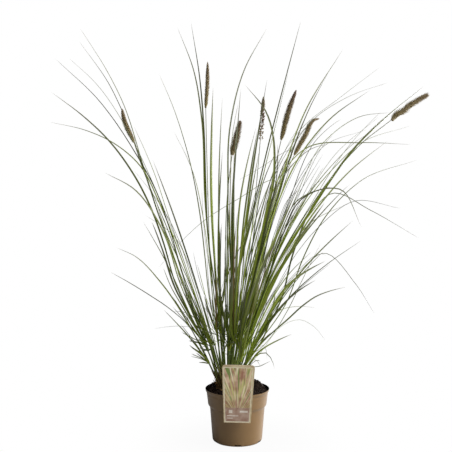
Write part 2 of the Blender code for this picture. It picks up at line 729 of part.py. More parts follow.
def build_shoots(feet, standing, leaf_green, rng):
    """The shoots, shortest sheath first, each set further back or forward until it clears the rest."""
    feet = sorted(feet)
    rows = []
    for number, (row, foot) in enumerate(zip(sorted(SHOOTS, key=lean_of), feet), start=1):
        ranges = (LEAF_FIRST_WIDTHS, LEAF_OTHER_WIDTHS, LEAF_OTHER_WIDTHS)
        widths = [rng.uniform(*narrow_to_wide) for narrow_to_wide in ranges]
        rows.append((number, row, foot[0], widths))
    for number, row, wanted_right, widths in sorted(rows, key=lambda made: made[1][0]):
        sheath_length, *seen = row
        near = sorted(feet, key=lambda spot: abs(spot[0] - wanted_right))[:FEET_TO_TRY]
        for attempt, (aside, spot) in enumerate((move, spot) for move in moves() for spot in near):
            foot = Vector((spot[0] * MM, spot[1] * MM, CROWN_TOP * MM + GAP))
            routes = shoot_routes(foot, seen, aside, random.Random(f"{number} {attempt}"))
            shoot = Shoot(foot, sheath_length, routes, widths)
            padded = Shoot(foot, sheath_length, routes, widths, spare=SPARE * MM)
            if shoot.crosses_itself() or padded.crosses_itself():
                continue
            tree = padded.tree()
            if not any(tree.overlap(other) for other in standing):
                break
        else:
            print(f"shoot {number} still touches a neighbour")
        feet.remove(spot)
        standing.append(shoot.tree())
        object_from_faces(f"shoot_{number:02d}", shoot.points, shoot.faces, leaf_green)


def tube_faces(rings):
    """A closed tube through rings of vertex numbers, with flat ends."""
    faces = [tuple(reversed(rings[0])), tuple(rings[-1])]
    for lower, upper in zip(rings, rings[1:]):
        faces += side_faces(lower, upper)
    return faces


def ring_at(spot, ahead, up, radius, sides, turn=0.0):
    """A ring of points about a spot, counted so that the tube's faces look outwards."""
    side = ahead.cross(up)
    points = []
    for step in range(sides):
        angle = turn + math.tau * step / sides
        points.append(spot - (up * math.cos(angle) + side * math.sin(angle)) * radius)
    return points


def build_flower(number, row, foot, stem_green, spike_brown):
    """A flowering stem from the crown, and the bristly spike that stands on its top."""
    _, _, back, thick, stem_seen, spike_seen = row
    foot = Vector((foot[0] * MM, foot[1] * MM, CROWN_TOP * MM + GAP))
    route = route_in_space(foot, stem_seen + spike_seen, back * MM)
    stem_route = [foot, *route[: len(stem_seen) + 1]]
    spike_route = route[len(stem_seen) :]
    stem = Curve(stem_route, stem_route[1] - stem_route[0] + Vector((0, 0, STEM_RISE)))
    top_ahead = (spike_route[1] - stem.at(STEM_END_READ_AT)).normalized()
    shares = [0, *stem.stations(STEM_STATIONS), 1]
    spots = [stem.at(share) for share in shares]
    first_ahead = (spots[1] - spots[0]).normalized()
    frames = frames_along(spots, first_ahead, first_ahead.orthogonal().normalized())
    frames[-1] = (top_ahead, (frames[-1][1] - top_ahead * frames[-1][1].dot(top_ahead)).normalized())
    points = []
    rings = []
    for share, spot, (ahead, up) in zip(shares, spots, frames):
        radius = (STEM_RADIUS_LOW + (STEM_RADIUS_HIGH - STEM_RADIUS_LOW) * share) * MM
        ring = ring_at(spot, ahead, up, radius, STEM_SIDES)
        if share == 0:
            ring = [Shoot.on_floor(foot, point - foot, ahead) for point in ring]
        rings.append(list(range(len(points), len(points) + STEM_SIDES)))
        points += ring
    faces = tube_faces(rings)
    object_from_faces(f"flower_stem_{number}", points, faces, stem_green)
    stem_tree = BVHTree.FromPolygons(points, faces)

    start = spots[-1] + top_ahead * GAP
    spike = Curve([start, *spike_route[1:]], top_ahead)
    points = ring_at(start, top_ahead, frames[-1][1], SPIKE_NECK * thick / 2 * MM, SPIKE_SIDES)
    rings = [list(range(SPIKE_SIDES))]
    shares = [(step + 0.5) / (2 * SPIKE_WHORLS) for step in range(2 * SPIKE_WHORLS)]
    spots = [start] + [spike.at(share) for share in shares]
    frames = frames_along(spots, top_ahead, frames[-1][1])
    for step, (share, spot, (ahead, up)) in enumerate(list(zip([0, *shares], spots, frames))[1:]):
        along = SPIKE_ENDS[0] + (SPIKE_ENDS[1] - SPIKE_ENDS[0]) * share
        body = math.sin(math.pi * along) ** SPIKE_FULLNESS
        radius = thick / 2 * MM * body * (1.0 if step % 2 else SPIKE_WAIST)
        turn = math.pi / SPIKE_SIDES * (step // 2 % 2)
        rings.append(list(range(len(points), len(points) + SPIKE_SIDES)))
        points += ring_at(spot, ahead, up, radius, SPIKE_SIDES, turn)
    faces = tube_faces(rings)
    faces.pop(1)
    points.append(spike.at(1.0))
    last = rings[-1]
    for step in range(SPIKE_SIDES):
        faces.append((last[step], last[(step + 1) % SPIKE_SIDES], len(points) - 1))
    object_from_faces(f"flower_spike_{number}", points, faces, spike_brown)
    return [stem_tree, BVHTree.FromPolygons(points, faces)]


def main():
    for old in list(bpy.data.objects):
        bpy.data.objects.remove(old, do_unlink=True)
    build_pot()
    build_soil()
    card = build_card()
    build_crown()
    stem_green = principled("flower_stem_green", (0.12, 0.17, 0.045), 0.5)
    spike_brown = principled("flower_spike_brown", (0.10, 0.065, 0.045), 0.9)
    leaf_green = principled("grass_leaf_green", (0.075, 0.14, 0.02), 0.45)
    feet = feet_of(len(SHOOTS) + len(FLOWERS))
    standing = [BVHTree.FromObject(card, bpy.context.evaluated_depsgraph_get())]
    for number, row in enumerate(FLOWERS, start=1):
        foot = min(feet, key=lambda spot: math.hypot(spot[0] - row[0], spot[1] - row[1]))
        feet.remove(foot)
        standing += build_flower(number, row, foot, stem_green, spike_brown)
    build_shoots(sorted(feet), standing, leaf_green, random.Random(11))


main()
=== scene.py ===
# %% [markdown]
# # Fountain grass in a nursery pot
#
# The object is a clump of fountain grass about 1.1 m tall. It grows in a round plastic nursery pot
# with a plant card on its rim. A packed CAD model fixes every place and size. This lesson loads it
# and lays finer surfaces over it: leaves, flower spikes, old leaf bases, soil, pot and card.

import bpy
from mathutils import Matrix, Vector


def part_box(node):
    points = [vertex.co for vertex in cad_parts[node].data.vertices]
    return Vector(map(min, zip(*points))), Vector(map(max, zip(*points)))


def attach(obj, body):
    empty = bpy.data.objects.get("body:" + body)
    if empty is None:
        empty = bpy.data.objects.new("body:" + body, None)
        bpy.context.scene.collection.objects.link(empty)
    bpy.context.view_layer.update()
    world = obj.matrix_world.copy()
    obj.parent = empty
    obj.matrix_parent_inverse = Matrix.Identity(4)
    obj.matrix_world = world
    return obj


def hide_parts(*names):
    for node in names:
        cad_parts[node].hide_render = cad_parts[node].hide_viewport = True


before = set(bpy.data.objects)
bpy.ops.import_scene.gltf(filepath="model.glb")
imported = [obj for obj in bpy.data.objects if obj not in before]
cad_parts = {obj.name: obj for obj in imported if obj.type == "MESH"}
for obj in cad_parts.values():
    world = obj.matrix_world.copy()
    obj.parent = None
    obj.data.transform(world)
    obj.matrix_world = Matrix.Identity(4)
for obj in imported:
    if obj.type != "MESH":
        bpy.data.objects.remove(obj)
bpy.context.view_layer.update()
print("CAD nodes:", len(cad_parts))

# %% Modules and units
import math
import random

import bmesh
import bpy
import numpy as np
from mathutils import Matrix, Vector
from mathutils.noise import noise

MM = 0.001
print("Blender", bpy.app.version_string)

# %% [markdown]
# ## Camera
#
# The picture was taken level with the middle of the leaves, from 1.74 m away. A level camera keeps
# the pot's sides from leaning towards each other, and this distance gives the pot's rim and foot
# the same roundness as in the picture. The lens is worked out for a 36 mm wide sensor.

# %% Place the camera
EYE = (-0.030, -1.740, 0.568)
LENS_MM = 52.0
SENSOR_MM = 36.0

camera = bpy.data.objects.new("camera", bpy.data.cameras.new("camera"))
bpy.context.scene.collection.objects.link(camera)
camera.location = EYE
camera.rotation_euler = (math.radians(90), 0, 0)
camera.data.lens = LENS_MM
camera.data.sensor_width = SENSOR_MM
bpy.context.scene.camera = camera
print("width seen at the pot:", round(SENSOR_MM / LENS_MM * -EYE[1], 3), "m")

# %% [markdown]
# ## Nodes and colours
#
# Every finish here is a small network of shader nodes. One function adds a node, sets it and links
# it, so that a material reads as a list of steps. Colours are written as sRGB hex values, as a
# paint chart gives them, and turned to linear light once.

# %% Helpers for materials
def linear(hex_colour):
    """The linear RGBA of an sRGB hex colour."""
    channels = [int(hex_colour[place : place + 2], 16) / 255 for place in (1, 3, 5)]
    light = [c / 12.92 if c <= 0.04045 else ((c + 0.055) / 1.055) ** 2.4 for c in channels]
    return (*light, 1.0)


def add_node(tree, kind, inputs, out=None, **settings):
    """Adds a node and returns one of its outputs. An input is a value, a hex colour or an output."""
    made = tree.nodes.new("ShaderNode" + kind)
    for name, value in settings.items():
        setattr(made, name, value)
    for name, value in inputs.items():
        named = (socket for socket in made.inputs if socket.enabled and socket.name == name)
        socket = made.inputs[name] if isinstance(name, int) else next(named)
        if isinstance(value, bpy.types.NodeSocket):
            tree.links.new(value, socket)
        else:
            socket.default_value = linear(value) if isinstance(value, str) else value
    return next((s for s in made.outputs if s.enabled and out in (None, s.name)), made)


print("taupe in linear light:", [round(c, 3) for c in linear("#8f7a5c")])

# %% Start and end a material
def new_finish(name):
    """An empty material and its node tree."""
    finish = bpy.data.materials.new(name)
    finish.use_nodes = True
    finish.node_tree.nodes.clear()
    return finish, finish.node_tree


def lay_over(tree, under, over, value, span=(0.0, 1.0), share=(0.0, 1.0)):
    """Lays a colour over another. Its share goes between two ends as a value crosses a span."""
    ends = {"From Min": span[0], "From Max": span[1], "To Min": share[0], "To Max": share[1]}
    part = add_node(tree, "MapRange", {"Value": value, **ends})
    return add_node(tree, "Mix", {"Factor": part, "A": under, "B": over}, data_type="RGBA")


def mottled(name, low, high, per_metre, detail, clear=(0.0, 1.0), **more):
    """A new finish whose colour runs from one to another in clouds, so many to a metre."""
    finish, tree = new_finish(name)
    place = add_node(tree, "TexCoord", {}, "Object")
    clouds = {"Vector": place, "Scale": per_metre, "Detail": detail, **more}
    cloud = add_node(tree, "TexNoise", clouds, "Fac")
    return finish, tree, place, cloud, lay_over(tree, low, high, cloud, clear)


def end_finish(tree, surface):
    """Ends a material: the surface's values set its shader, and the shader goes to the output."""
    shader = add_node(tree, "BsdfPrincipled", surface)
    add_node(tree, "OutputMaterial", {"Surface": shader})


print("materials so far:", len(bpy.data.materials))

# %% [markdown]
# ## Studio light
#
# The plant stood in a white studio, bright on the right and dark on the left. So the sky is a soft
# ramp of light from left to right, and plain white where the camera sees it. Three wide lamps add
# direction: a key lamp on the right, a weak one above, and a rim lamp low behind the pot, which
# draws its bright right edge. An even white room would be simpler, but it washes out the dark side.

# %% Light the room
SKY_LEFT = 0.07
SKY_RIGHT = 1.25
SKY_DARK_TO = -0.45  # how far to the left the ramp begins, as the X of a direction

world = bpy.data.worlds.new("white_studio")
bpy.context.scene.world = world
world.use_nodes = True
sky = world.node_tree
sky.nodes.clear()
direction = add_node(sky, "TexCoord", {}, "Generated")
rightwards = add_node(sky, "SeparateXYZ", {"Vector": direction}, "X")
ends = {"From Min": SKY_DARK_TO, "To Min": SKY_LEFT, "To Max": SKY_RIGHT}
ramp = add_node(sky, "MapRange", {"Value": rightwards, **ends}, interpolation_type="SMOOTHSTEP")
looking = add_node(sky, "LightPath", {}, "Is Camera Ray")
strength = add_node(sky, "Mix", {"Factor": looking, "A": ramp, "B": 1.0})
white = add_node(sky, "Background", {"Color": (1, 1, 1, 1), "Strength": strength})
add_node(sky, "OutputWorld", {"Surface": white})
bpy.context.scene.view_settings.view_transform = "Standard"
print("light from the left and right:", SKY_LEFT, SKY_RIGHT)

# %% Hang the lamps
LAMP_SIZE = 1.2  # metres: a wide lamp gives every shade a soft edge
# Each lamp's name, place and target in metres, power in watts and colour.
LAMPS = (
    ("key_lamp", (2.3, -0.9, 1.7), (0.0, 0.0, 0.45), 36, "#fcfcff"),
    ("top_lamp", (0.5, -0.6, 2.7), (0.0, 0.0, 0.5), 14, "#ffffff"),
    ("rim_lamp", (1.5, 1.2, 0.45), (0.0, 0.0, 0.2), 48, "#f6f8ff"),
)
for name, place, target, watts, colour in LAMPS:
    light = bpy.data.lights.new(name, "AREA")
    light.size = LAMP_SIZE
    light.energy = watts
    light.color = linear(colour)[:3]
    lamp = bpy.data.objects.new(name, light)
    bpy.context.scene.collection.objects.link(lamp)
    lamp.location = place
    lamp.rotation_euler = (Vector(target) - Vector(place)).to_track_quat("-Z", "Y").to_euler()
    print(name, watts, "W")

# %% [markdown]
# ## Floor
#
# In the studio the plant stands on white paper that is lit until it is as white as the wall. The
# paper here is a plane with two finishes in one: a dull one, which takes the pot's soft shadow, and
# a glow. The glow's share grows from the pot outwards until the paper is pure white, so the eye
# finds no edge between floor and wall. The glow shows to the camera only and lights nothing.

# %% Lay the floor
# To the eye the paper is dull and white, with a faint shadow and no shine.
FLOOR_HALF = 6.0
FLOOR_DROP = 0.5 * MM  # the floor lies this far under the pot's foot, so that the two never touch
GLOW_FROM = 0.05
GLOW_AT_POT = 0.95
SHADOW_REACH = 0.32

floor_finish, tree = new_finish("studio_paper_white")
place = add_node(tree, "TexCoord", {}, "Object")
away = add_node(tree, "VectorMath", {"Vector": place}, "Value", operation="LENGTH")
ends = {"From Min": GLOW_FROM, "From Max": SHADOW_REACH, "To Min": GLOW_AT_POT}
share = add_node(tree, "MapRange", {"Value": away, **ends}, interpolation_type="SMOOTHSTEP")
seen = add_node(tree, "LightPath", {}, "Is Camera Ray")
share = add_node(tree, "Mix", {"Factor": seen, "A": 0.0, "B": share})
paper = add_node(tree, "BsdfDiffuse", {"Color": "#a2a2a0"})
glow = add_node(tree, "Emission", {"Color": (1, 1, 1, 1), "Strength": 1.0})
both = add_node(tree, "MixShader", {0: share, 1: paper, 2: glow})
add_node(tree, "OutputMaterial", {"Surface": both})

floor_mesh = bpy.data.meshes.new("floor")
corners = [(x * FLOOR_HALF, y * FLOOR_HALF, -FLOOR_DROP) for x, y in ((-1, -1), (1, -1), (1, 1), (-1, 1))]
floor_mesh.from_pydata(corners, [], [(0, 1, 2, 3)])
floor = bpy.data.objects.new("floor", floor_mesh)
bpy.context.scene.collection.objects.link(floor)
floor_mesh.materials.append(floor_finish)
print("floor:", 2 * FLOOR_HALF, "m wide")

# %% [markdown]
# ## Meshes as rings
#
# Leaves, culms, sheaths and bristles are all long and thin. Each is made of rings of points joined
# by faces, which a short class collects into one mesh. A curve with a bevel would do for one leaf,
# but one mesh for many keeps the scene light. Four numbers are kept at every point for the
# material to read: how far along the piece it is, how far across, a tone that differs from leaf to
# leaf, and how dry it is. On the leaves the tone's dark and light ends are also painted shade and
# painted light.

# %% A mesh made of rings
class Skin:
    """Rings of points joined by faces, with numbers for the material at every point."""

    NUMBERS = ("along", "across", "tone", "dry")

    def __init__(self):
        self.points = []
        self.faces = []
        self.finishes = []
        self.numbers = []

    def add_rings(self, rings, along, across, tone, dry=0.0, finish=0, tip=None):
        """Joins rings of equal size: along per ring, across per point. The end is flat or a tip."""
        rings = np.asarray(rings, dtype=float)
        count, size, _ = rings.shape
        first = len(self.points)
        last = first + (count - 1) * size
        steps = [(step, (step + 1) % size) for step in range(size)]
        self.points += rings.reshape(-1, 3).tolist()
        self.numbers += [(share, side, tone, dry) for share in along for side in across]
        made = [tuple(range(first + size - 1, first - 1, -1))]
        for low in range(first, last, size):
            high = low + size
            made += [(low + step, low + after, high + after, high + step) for step, after in steps]
        if tip is None:
            made.append(tuple(range(last, last + size)))
        else:
            end = len(self.points)
            self.points.append([float(axis) for axis in tip])
            self.numbers.append((1.0, across[0], tone, dry))
            made += [(last + step, last + after, end) for step, after in steps]
        self.faces += made
        self.finishes += [finish] * len(made)

    def build(self, name, finishes, smooth_to=50):
        """The finished mesh, smooth except where faces meet at more than an angle."""
        mesh = bpy.data.meshes.new(name)
        mesh.from_pydata(self.points, [], self.faces)
        for finish in finishes:
            mesh.materials.append(finish)
        mesh.polygons.foreach_set("material_index", self.finishes)
        for column, number in enumerate(self.NUMBERS):
            layer = mesh.attributes.new(number, "FLOAT", "POINT")
            layer.data.foreach_set("value", [row[column] for row in self.numbers])
        mesh.shade_smooth()
        mesh.set_sharp_from_angle(angle=math.radians(smooth_to))
        return mesh


print("numbers kept at each point:", Skin.NUMBERS)

# %% Put a piece in the scene
def add_piece(name, mesh, node):
    """Puts a mesh in the scene in place of the CAD node that it stands for."""
    piece = bpy.data.objects.new(name, mesh)
    bpy.context.scene.collection.objects.link(piece)
    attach(piece, "root")
    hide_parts(node)
    return piece


print("CAD nodes to replace:", len(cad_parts))

# %% Directions and smooth curves
def unit(vectors):
    return vectors / np.maximum(np.linalg.norm(vectors, axis=-1, keepdims=True), 1e-12)


def smooth_values(values, knots, shares):
    """Values given at knots, read between them on a cubic that keeps their slopes."""
    slopes = np.gradient(values, knots, axis=0)
    at = np.clip(np.searchsorted(knots, shares, side="right") - 1, 0, len(knots) - 2)
    span = (knots[at + 1] - knots[at])[:, None]
    t = (np.asarray(shares)[:, None] - knots[at][:, None]) / span
    ends = values[at] * (2 * t**3 - 3 * t**2 + 1) + values[at + 1] * (3 * t**2 - 2 * t**3)
    return ends + (slopes[at] * (t**3 - 2 * t**2 + t) + slopes[at + 1] * (t**3 - t**2)) * span


def through(points, shares):
    """Places on a smooth curve through points, read at shares of its length from 0 to 1."""
    points = np.asarray(points, dtype=float)
    steps = np.linalg.norm(np.diff(points, axis=0), axis=1)
    knots = np.concatenate(([0.0], np.cumsum(steps))) / steps.sum()
    return smooth_values(points, knots, shares)


print("halfway along a bend:", through(((0, 0), (2, 1), (3, 3)), [0.5]).round(2))

# %% [markdown]
# ## Reading the leaves back
#
# The CAD shoot is a six-sided sheath that parts into three folded leaves, each a row of three-point
# rings that ends in one point. That end point is the only kind with just three neighbours. Walking
# from it, neighbour by neighbour, gives the rings from the tip down to the sheath. So the finer
# leaves need no table of their own: they follow whatever the CAD says.

# %% Points and rings of a CAD node
def joined_points(node):
    """A CAD node's points without doubles, as (places, neighbours of each)."""
    bm = bmesh.new()
    bm.from_mesh(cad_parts[node].data)
    bmesh.ops.remove_doubles(bm, verts=bm.verts, dist=1e-5)
    bm.verts.index_update()
    places = np.array([vertex.co[:] for vertex in bm.verts])
    near = [{edge.other_vert(vertex).index for edge in vertex.link_edges} for vertex in bm.verts]
    bm.free()
    return places, near


def rings_from(seen, ring, near, size=None):
    """Rings that walk away from the points seen, to the end or until one has another size."""
    rings = []
    while ring and size in (None, len(ring)):
        rings.append(sorted(ring))
        seen = seen | ring
        ring = set().union(*(near[point] for point in ring)) - seen
    return rings


print("points of the first shoot:", len(joined_points("shoot_01")[0]))

# %% A leaf read from the CAD
class LeafForm:
    """A CAD leaf from root to tip: middles, directions to its side and up, and half widths."""

    def __init__(self, places, rings, tip):
        middles = []
        sides = []
        ups = []
        halves = []
        for ring in reversed(rings):
            corners = places[ring]
            pairs = ((0, 1), (0, 2), (1, 2))
            width, a, b = max((np.linalg.norm(corners[a] - corners[b]), a, b) for a, b in pairs)
            keel = corners[3 - a - b]
            side = (corners[a] - corners[b]) / width
            if sides and side @ sides[-1] < 0:
                side = -side
            middle = (corners[a] + corners[b]) / 2
            middles.append(middle)
            sides.append(side)
            ups.append(middle - keel)
            halves.append(width / 2)
        self.middles = np.array([*middles, places[tip]])
        self.sides = np.array([*sides, sides[-1]])
        self.ups = unit(np.array([*ups, ups[-1]]))
        self.halves = np.array([*halves, 0.0])
        steps = np.linalg.norm(np.diff(self.middles, axis=0), axis=1)
        self.length = steps.sum()
        self.knots = np.concatenate(([0.0], np.cumsum(steps))) / self.length

    def read(self, shares):
        """Middles, half widths, sides and ups at shares of the leaf's length."""
        middles, sides, ups = (
            smooth_values(values, self.knots, shares) for values in (self.middles, self.sides, self.ups)
        )
        return middles, np.interp(shares, self.knots, self.halves), sides, ups


print("what a leaf's form reads:", LeafForm.read.__doc__)

# %% Read every shoot
def read_shoot(node):
    """The foot's middle, the lip's middle and the leaves of a CAD shoot, longest leaf first."""
    places, near = joined_points(node)
    tips = [index for index, others in enumerate(near) if len(others) == 3]
    leaves = []
    roots = set()
    for tip in tips:
        rings = rings_from({tip}, near[tip], near, 3)
        roots |= set(rings[-1])
        leaves.append(LeafForm(places, rings, tip))
    low = places[places[:, 2] < places[:, 2].min() + 0.05 * MM]
    lip = places[sorted(roots)].mean(axis=0)
    return low.mean(axis=0), lip, sorted(leaves, key=lambda leaf: -leaf.length)


shoot_nodes = sorted(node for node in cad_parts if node.startswith("shoot_"))
shoots = {node: read_shoot(node) for node in shoot_nodes}
print("leaves read:", sum(len(leaves) for _, _, leaves in shoots.values()))
print("longest leaf:", round(max(leaves[0].length for _, _, leaves in shoots.values()), 3), "m")

# %% [markdown]
# ## Living leaf
#
# A grass leaf is a thin green blade, satin from the wax on its skin, with long veins and a paler
# midrib. It is freshest at its foot, fades above, and dries first at its tip. Wax and water give an
# IOR near 1.4 and a roughness near 0.45. Real veins are 0.3 mm apart, and these about 0.5 mm so
# that they show. A picture could be laid on the blade, but colours laid over each other, each with
# a share that follows the place on the leaf, stay sharp close up.

# %% Leaf material
# To the eye the wax gives a soft satin streak along each blade, which the veins break up.
VEINS_PER_HALF = 5
BLOTCHES_PER_METRE = 35  # about 29 mm each

leaf_finish, tree = new_finish("grass_blade_waxy")
along, across, tone, dry = (
    add_node(tree, "Attribute", {}, "Fac", attribute_name=name) for name in Skin.NUMBERS
)
place = add_node(tree, "TexCoord", {}, "Object")
blotch = add_node(tree, "TexNoise", {"Vector": place, "Scale": BLOTCHES_PER_METRE, "Detail": 3.0}, "Fac")
off_rib = add_node(tree, "Math", {"Value": across}, operation="ABSOLUTE")
# The tone runs from dark green, painted shade for leaves deep in the clump, to light green, painted light for
# leaves in the light. It also differs at random from leaf to leaf.
green = lay_over(tree, "#33420e", "#9cae3c", tone)
for over, value, span, share in (
    ("#8f9440", blotch, (0.4, 0.8), (0.0, 0.35)),  # worn patches
    ("#a8b25e", off_rib, (0.08, 0.22), (0.5, 0.0)),  # the pale midrib
    ("#9aae30", along, (0.0, 0.35), (0.55, 0.0)),  # the fresh foot
    ("#8a8a76", along, (0.5, 0.95), (0.0, 0.9)),  # the faded upper half
    ("#7a6a48", along, (0.93, 1.0), (0.0, 1.0)),  # the dry tip
):
    green = lay_over(tree, green, over, value, span, share)
straw = lay_over(tree, "#5a4020", "#a58a55", blotch)
colour = lay_over(tree, green, straw, dry)
gloss = add_node(tree, "MapRange", {"Value": blotch, "To Min": 0.40, "To Max": 0.58})
wave = add_node(tree, "Math", {0: across, 1: VEINS_PER_HALF * math.tau}, operation="MULTIPLY")
veins = add_node(tree, "Math", {"Value": wave}, operation="SINE")
relief = add_node(tree, "Bump", {"Height": veins, "Strength": 0.35, "Distance": 0.05 * MM})
wax = {"Roughness": gloss, "IOR": 1.42, "Specular IOR Level": 0.35}
end_finish(tree, {"Base Color": colour, "Normal": relief, **wax})
print("nodes in the leaf's finish:", len(tree.nodes))

# %% [markdown]
# ## Leaves
#
# Each leaf is a thin closed blade with a section of eight points: five on its upper side, and three
# below with a raised midrib. It is folded like a V at its root and opens further up. A slow twist
# turns every blade a little, so that some show their face and some their edge, as in a real clump.
# A flat strip would be lighter, but it would vanish wherever it shows its edge.

# %% Build a blade
ACROSS = np.array((-1.0, -0.5, 0.0, 0.5, 1.0, 0.5, 0.0, -0.5))
UNDER = np.array((0.0, 0.0, 0.0, 0.0, 0.0, 1.0, 1.6, 1.0))
BLADE_THICK = 0.30 * MM
# How deep the fold is, as a share of the half width: at the root, and how much it opens.
ROOT_FOLD = 0.85
FOLD_OPENS = 0.45


def turned(side, over, angle):
    """Two directions at right angles to each other, turned together by an angle."""
    cos, sin = np.cos(angle), np.sin(angle)
    return side * cos + over * sin, over * cos - side * sin


def blade_rings(middles, halves, sides, ups, twist):
    """Rings of a folded blade along its middles."""
    shares = np.linspace(0.0, 1.0, len(middles))
    ahead = unit(np.gradient(middles, axis=0))
    sides = unit(sides - ahead * (sides * ahead).sum(axis=1, keepdims=True))
    over = np.cross(sides, ahead)
    flip = np.sign((over * ups).sum(axis=1, keepdims=True))
    sides = sides * flip
    over = over * flip
    angle = (twist * shares**1.3)[:, None]
    sides, over = turned(sides, over, angle)
    fold = (ROOT_FOLD - FOLD_OPENS * np.minimum(shares * 5, 1.0)) * halves
    bowl = -(1 - np.abs(ACROSS) ** 1.3)[None, :] * fold[:, None]
    thick = np.minimum(BLADE_THICK, halves * 0.6)[:, None] * UNDER[None, :]
    out = sides[:, None, :] * (ACROSS[None, :] * halves[:, None])[:, :, None]
    return middles[:, None, :] + out + over[:, None, :] * (bowl - thick)[:, :, None]


print("points in a blade's section:", len(ACROSS))

# %% Lay a leaf along its CAD form
STATION_STEP = 15 * MM
TWIST = 0.8
SWAY = 2 * MM
THINNEST = 0.3 * MM
# The CAD leaf tapers evenly. A real one is slim above its sheath, widest near the middle and keeps
# its width for longer towards the tip. These factors on its width do that.
WIDTH_AT = (0.0, 0.12, 0.24, 0.45, 0.8, 1.0)
WIDTH_FACTORS = (0.95, 0.92, 0.84, 1.24, 1.8, 2.2)
YOUNG_AT = (0, 0.25, 0.6, 0.9, 1.0)
YOUNG_HALVES_MM = (0.9, 1.5, 1.8, 1.1, 0.4)


def add_leaf(skin, form, luck, tone, reach=1.0, width=1.0, aside=None, dry=0.0):
    """A blade along a CAD leaf, or a shorter and narrower one beside it."""
    count = max(10, int(form.length * reach / STATION_STEP))
    shares = np.linspace(0.0, 1.0, count)
    middles, halves, sides, ups = form.read(shares * reach)
    halves = halves * np.interp(shares, WIDTH_AT, WIDTH_FACTORS)
    if reach < 1.0:
        halves = np.interp(shares, YOUNG_AT, YOUNG_HALVES_MM) * MM
    halves = np.maximum(halves * width, THINNEST)
    if aside is not None:
        middles = middles + np.outer(shares**1.15, aside)
    sway = np.array([luck.uniform(-1, 1) for _ in range(3)]) * SWAY
    middles = middles + np.outer(np.sin(shares * math.pi * 3) * shares * (1 - shares), sway)
    rings = blade_rings(middles, halves, sides, ups, luck.uniform(-TWIST, TWIST))
    skin.add_rings(rings[:-1], shares[:-1], ACROSS, tone, dry, tip=middles[-1])


print("a young leaf is up to", 2 * max(YOUNG_HALVES_MM), "mm wide")

# %% [markdown]
# ## Sheaths and old bases
#
# Below its blade each grass leaf is a sheath rolled round the shoot. The outer ones die, turn brown
# and split, and stay as papery wraps at the foot of the clump. A sheath is a slightly flattened
# tube. A dead wrap is a thin strip bent round it, with a ragged and flared top.

# %% Sheath material
# To the eye the fibres give a dull, finely streaked skin, with no gloss where it is dead.
FIBRES_PER_METRE = 900  # about 1.1 mm each across the shoot
FIBRE_STRETCH = (1.0, 1.0, 0.08)  # fibres run up the shoot, twelve times as long as they are wide

sheath_finish, tree = new_finish("leaf_sheath_ribbed")
along, tone, dry = (
    add_node(tree, "Attribute", {}, "Fac", attribute_name=name) for name in ("along", "tone", "dry")
)
place = add_node(tree, "TexCoord", {}, "Object")
stretched = add_node(tree, "Mapping", {"Vector": place, "Scale": FIBRE_STRETCH})
fibre = add_node(tree, "TexNoise", {"Vector": stretched, "Scale": FIBRES_PER_METRE, "Detail": 2.0}, "Fac")
green = lay_over(tree, "#46591c", "#7d8f3a", tone)
green = lay_over(tree, green, "#7a5832", along, (0.05, 0.55), (0.8, 0.0))
straw = lay_over(tree, "#4c3219", "#a6824e", fibre)
colour = lay_over(tree, green, straw, dry)
relief = add_node(tree, "Bump", {"Height": fibre, "Strength": 0.5, "Distance": 0.15 * MM})
end_finish(tree, {"Base Color": colour, "Roughness": 0.6, "IOR": 1.42, "Normal": relief})
print("nodes in the sheath's finish:", len(tree.nodes))

# %% Build a round tube
def side_and_back(ahead):
    """Two directions at right angles to a way ahead."""
    side = unit(np.cross(ahead, (0.0, 1.0, 0.02)))
    return side, np.cross(ahead, side)


def add_round(
    skin, middles, radii, sides, tone, dry=0.0, tip=None, mark=None, turn=0.0, oval=(1, 1), finish=0
):
    """A tube along middles, round or oval. A mark is written to every point's across number."""
    side, back = turned(*side_and_back(unit(np.gradient(middles, axis=0))), turn)
    around = np.linspace(0, math.tau, sides, endpoint=False)[None, :, None]
    circle = side[:, None, :] * np.cos(around) * oval[0] + back[:, None, :] * np.sin(around) * oval[1]
    rings = middles[:, None, :] + circle * np.asarray(radii)[:, None, None]
    across = np.cos(around).ravel() if mark is None else np.full(sides, mark)
    along = np.linspace(0, 1 if tip is None else 0.8, len(middles))
    skin.add_rings(rings, along, across, tone, dry, finish, tip)


print("side and back of a way up:", side_and_back(np.array((0.0, 0.0, 1.0))))

# %% Build a sheath
SHEATH_FOOT_MM = 2.35
SHEATH_LIP_MM = 1.9
SHEATH_OVAL = (1.08, 0.9)


def add_sheath(skin, foot, lip, luck):
    """A flattened tube from the crown to where the blades part."""
    shares = np.linspace(0.0, 1.0, 9)
    radii = (SHEATH_FOOT_MM + (SHEATH_LIP_MM - SHEATH_FOOT_MM) * shares) * MM
    turn = luck.uniform(0, math.pi)
    middles = foot + np.outer(shares, lip - foot)
    add_round(skin, middles, radii, 12, luck.random(), turn=turn, oval=SHEATH_OVAL, finish=1)


print("a sheath is", 2 * SHEATH_FOOT_MM, "mm thick at its foot")

# %% Build a dead wrap
WRAP_RADIUS = 2.75 * MM
WRAP_THICK = 0.18 * MM
WRAP_FLARE_MM = (0.5, 3.5)
WRAP_AROUND = (1.6, 3.0)  # how far a wrap reaches round its shoot, in radians


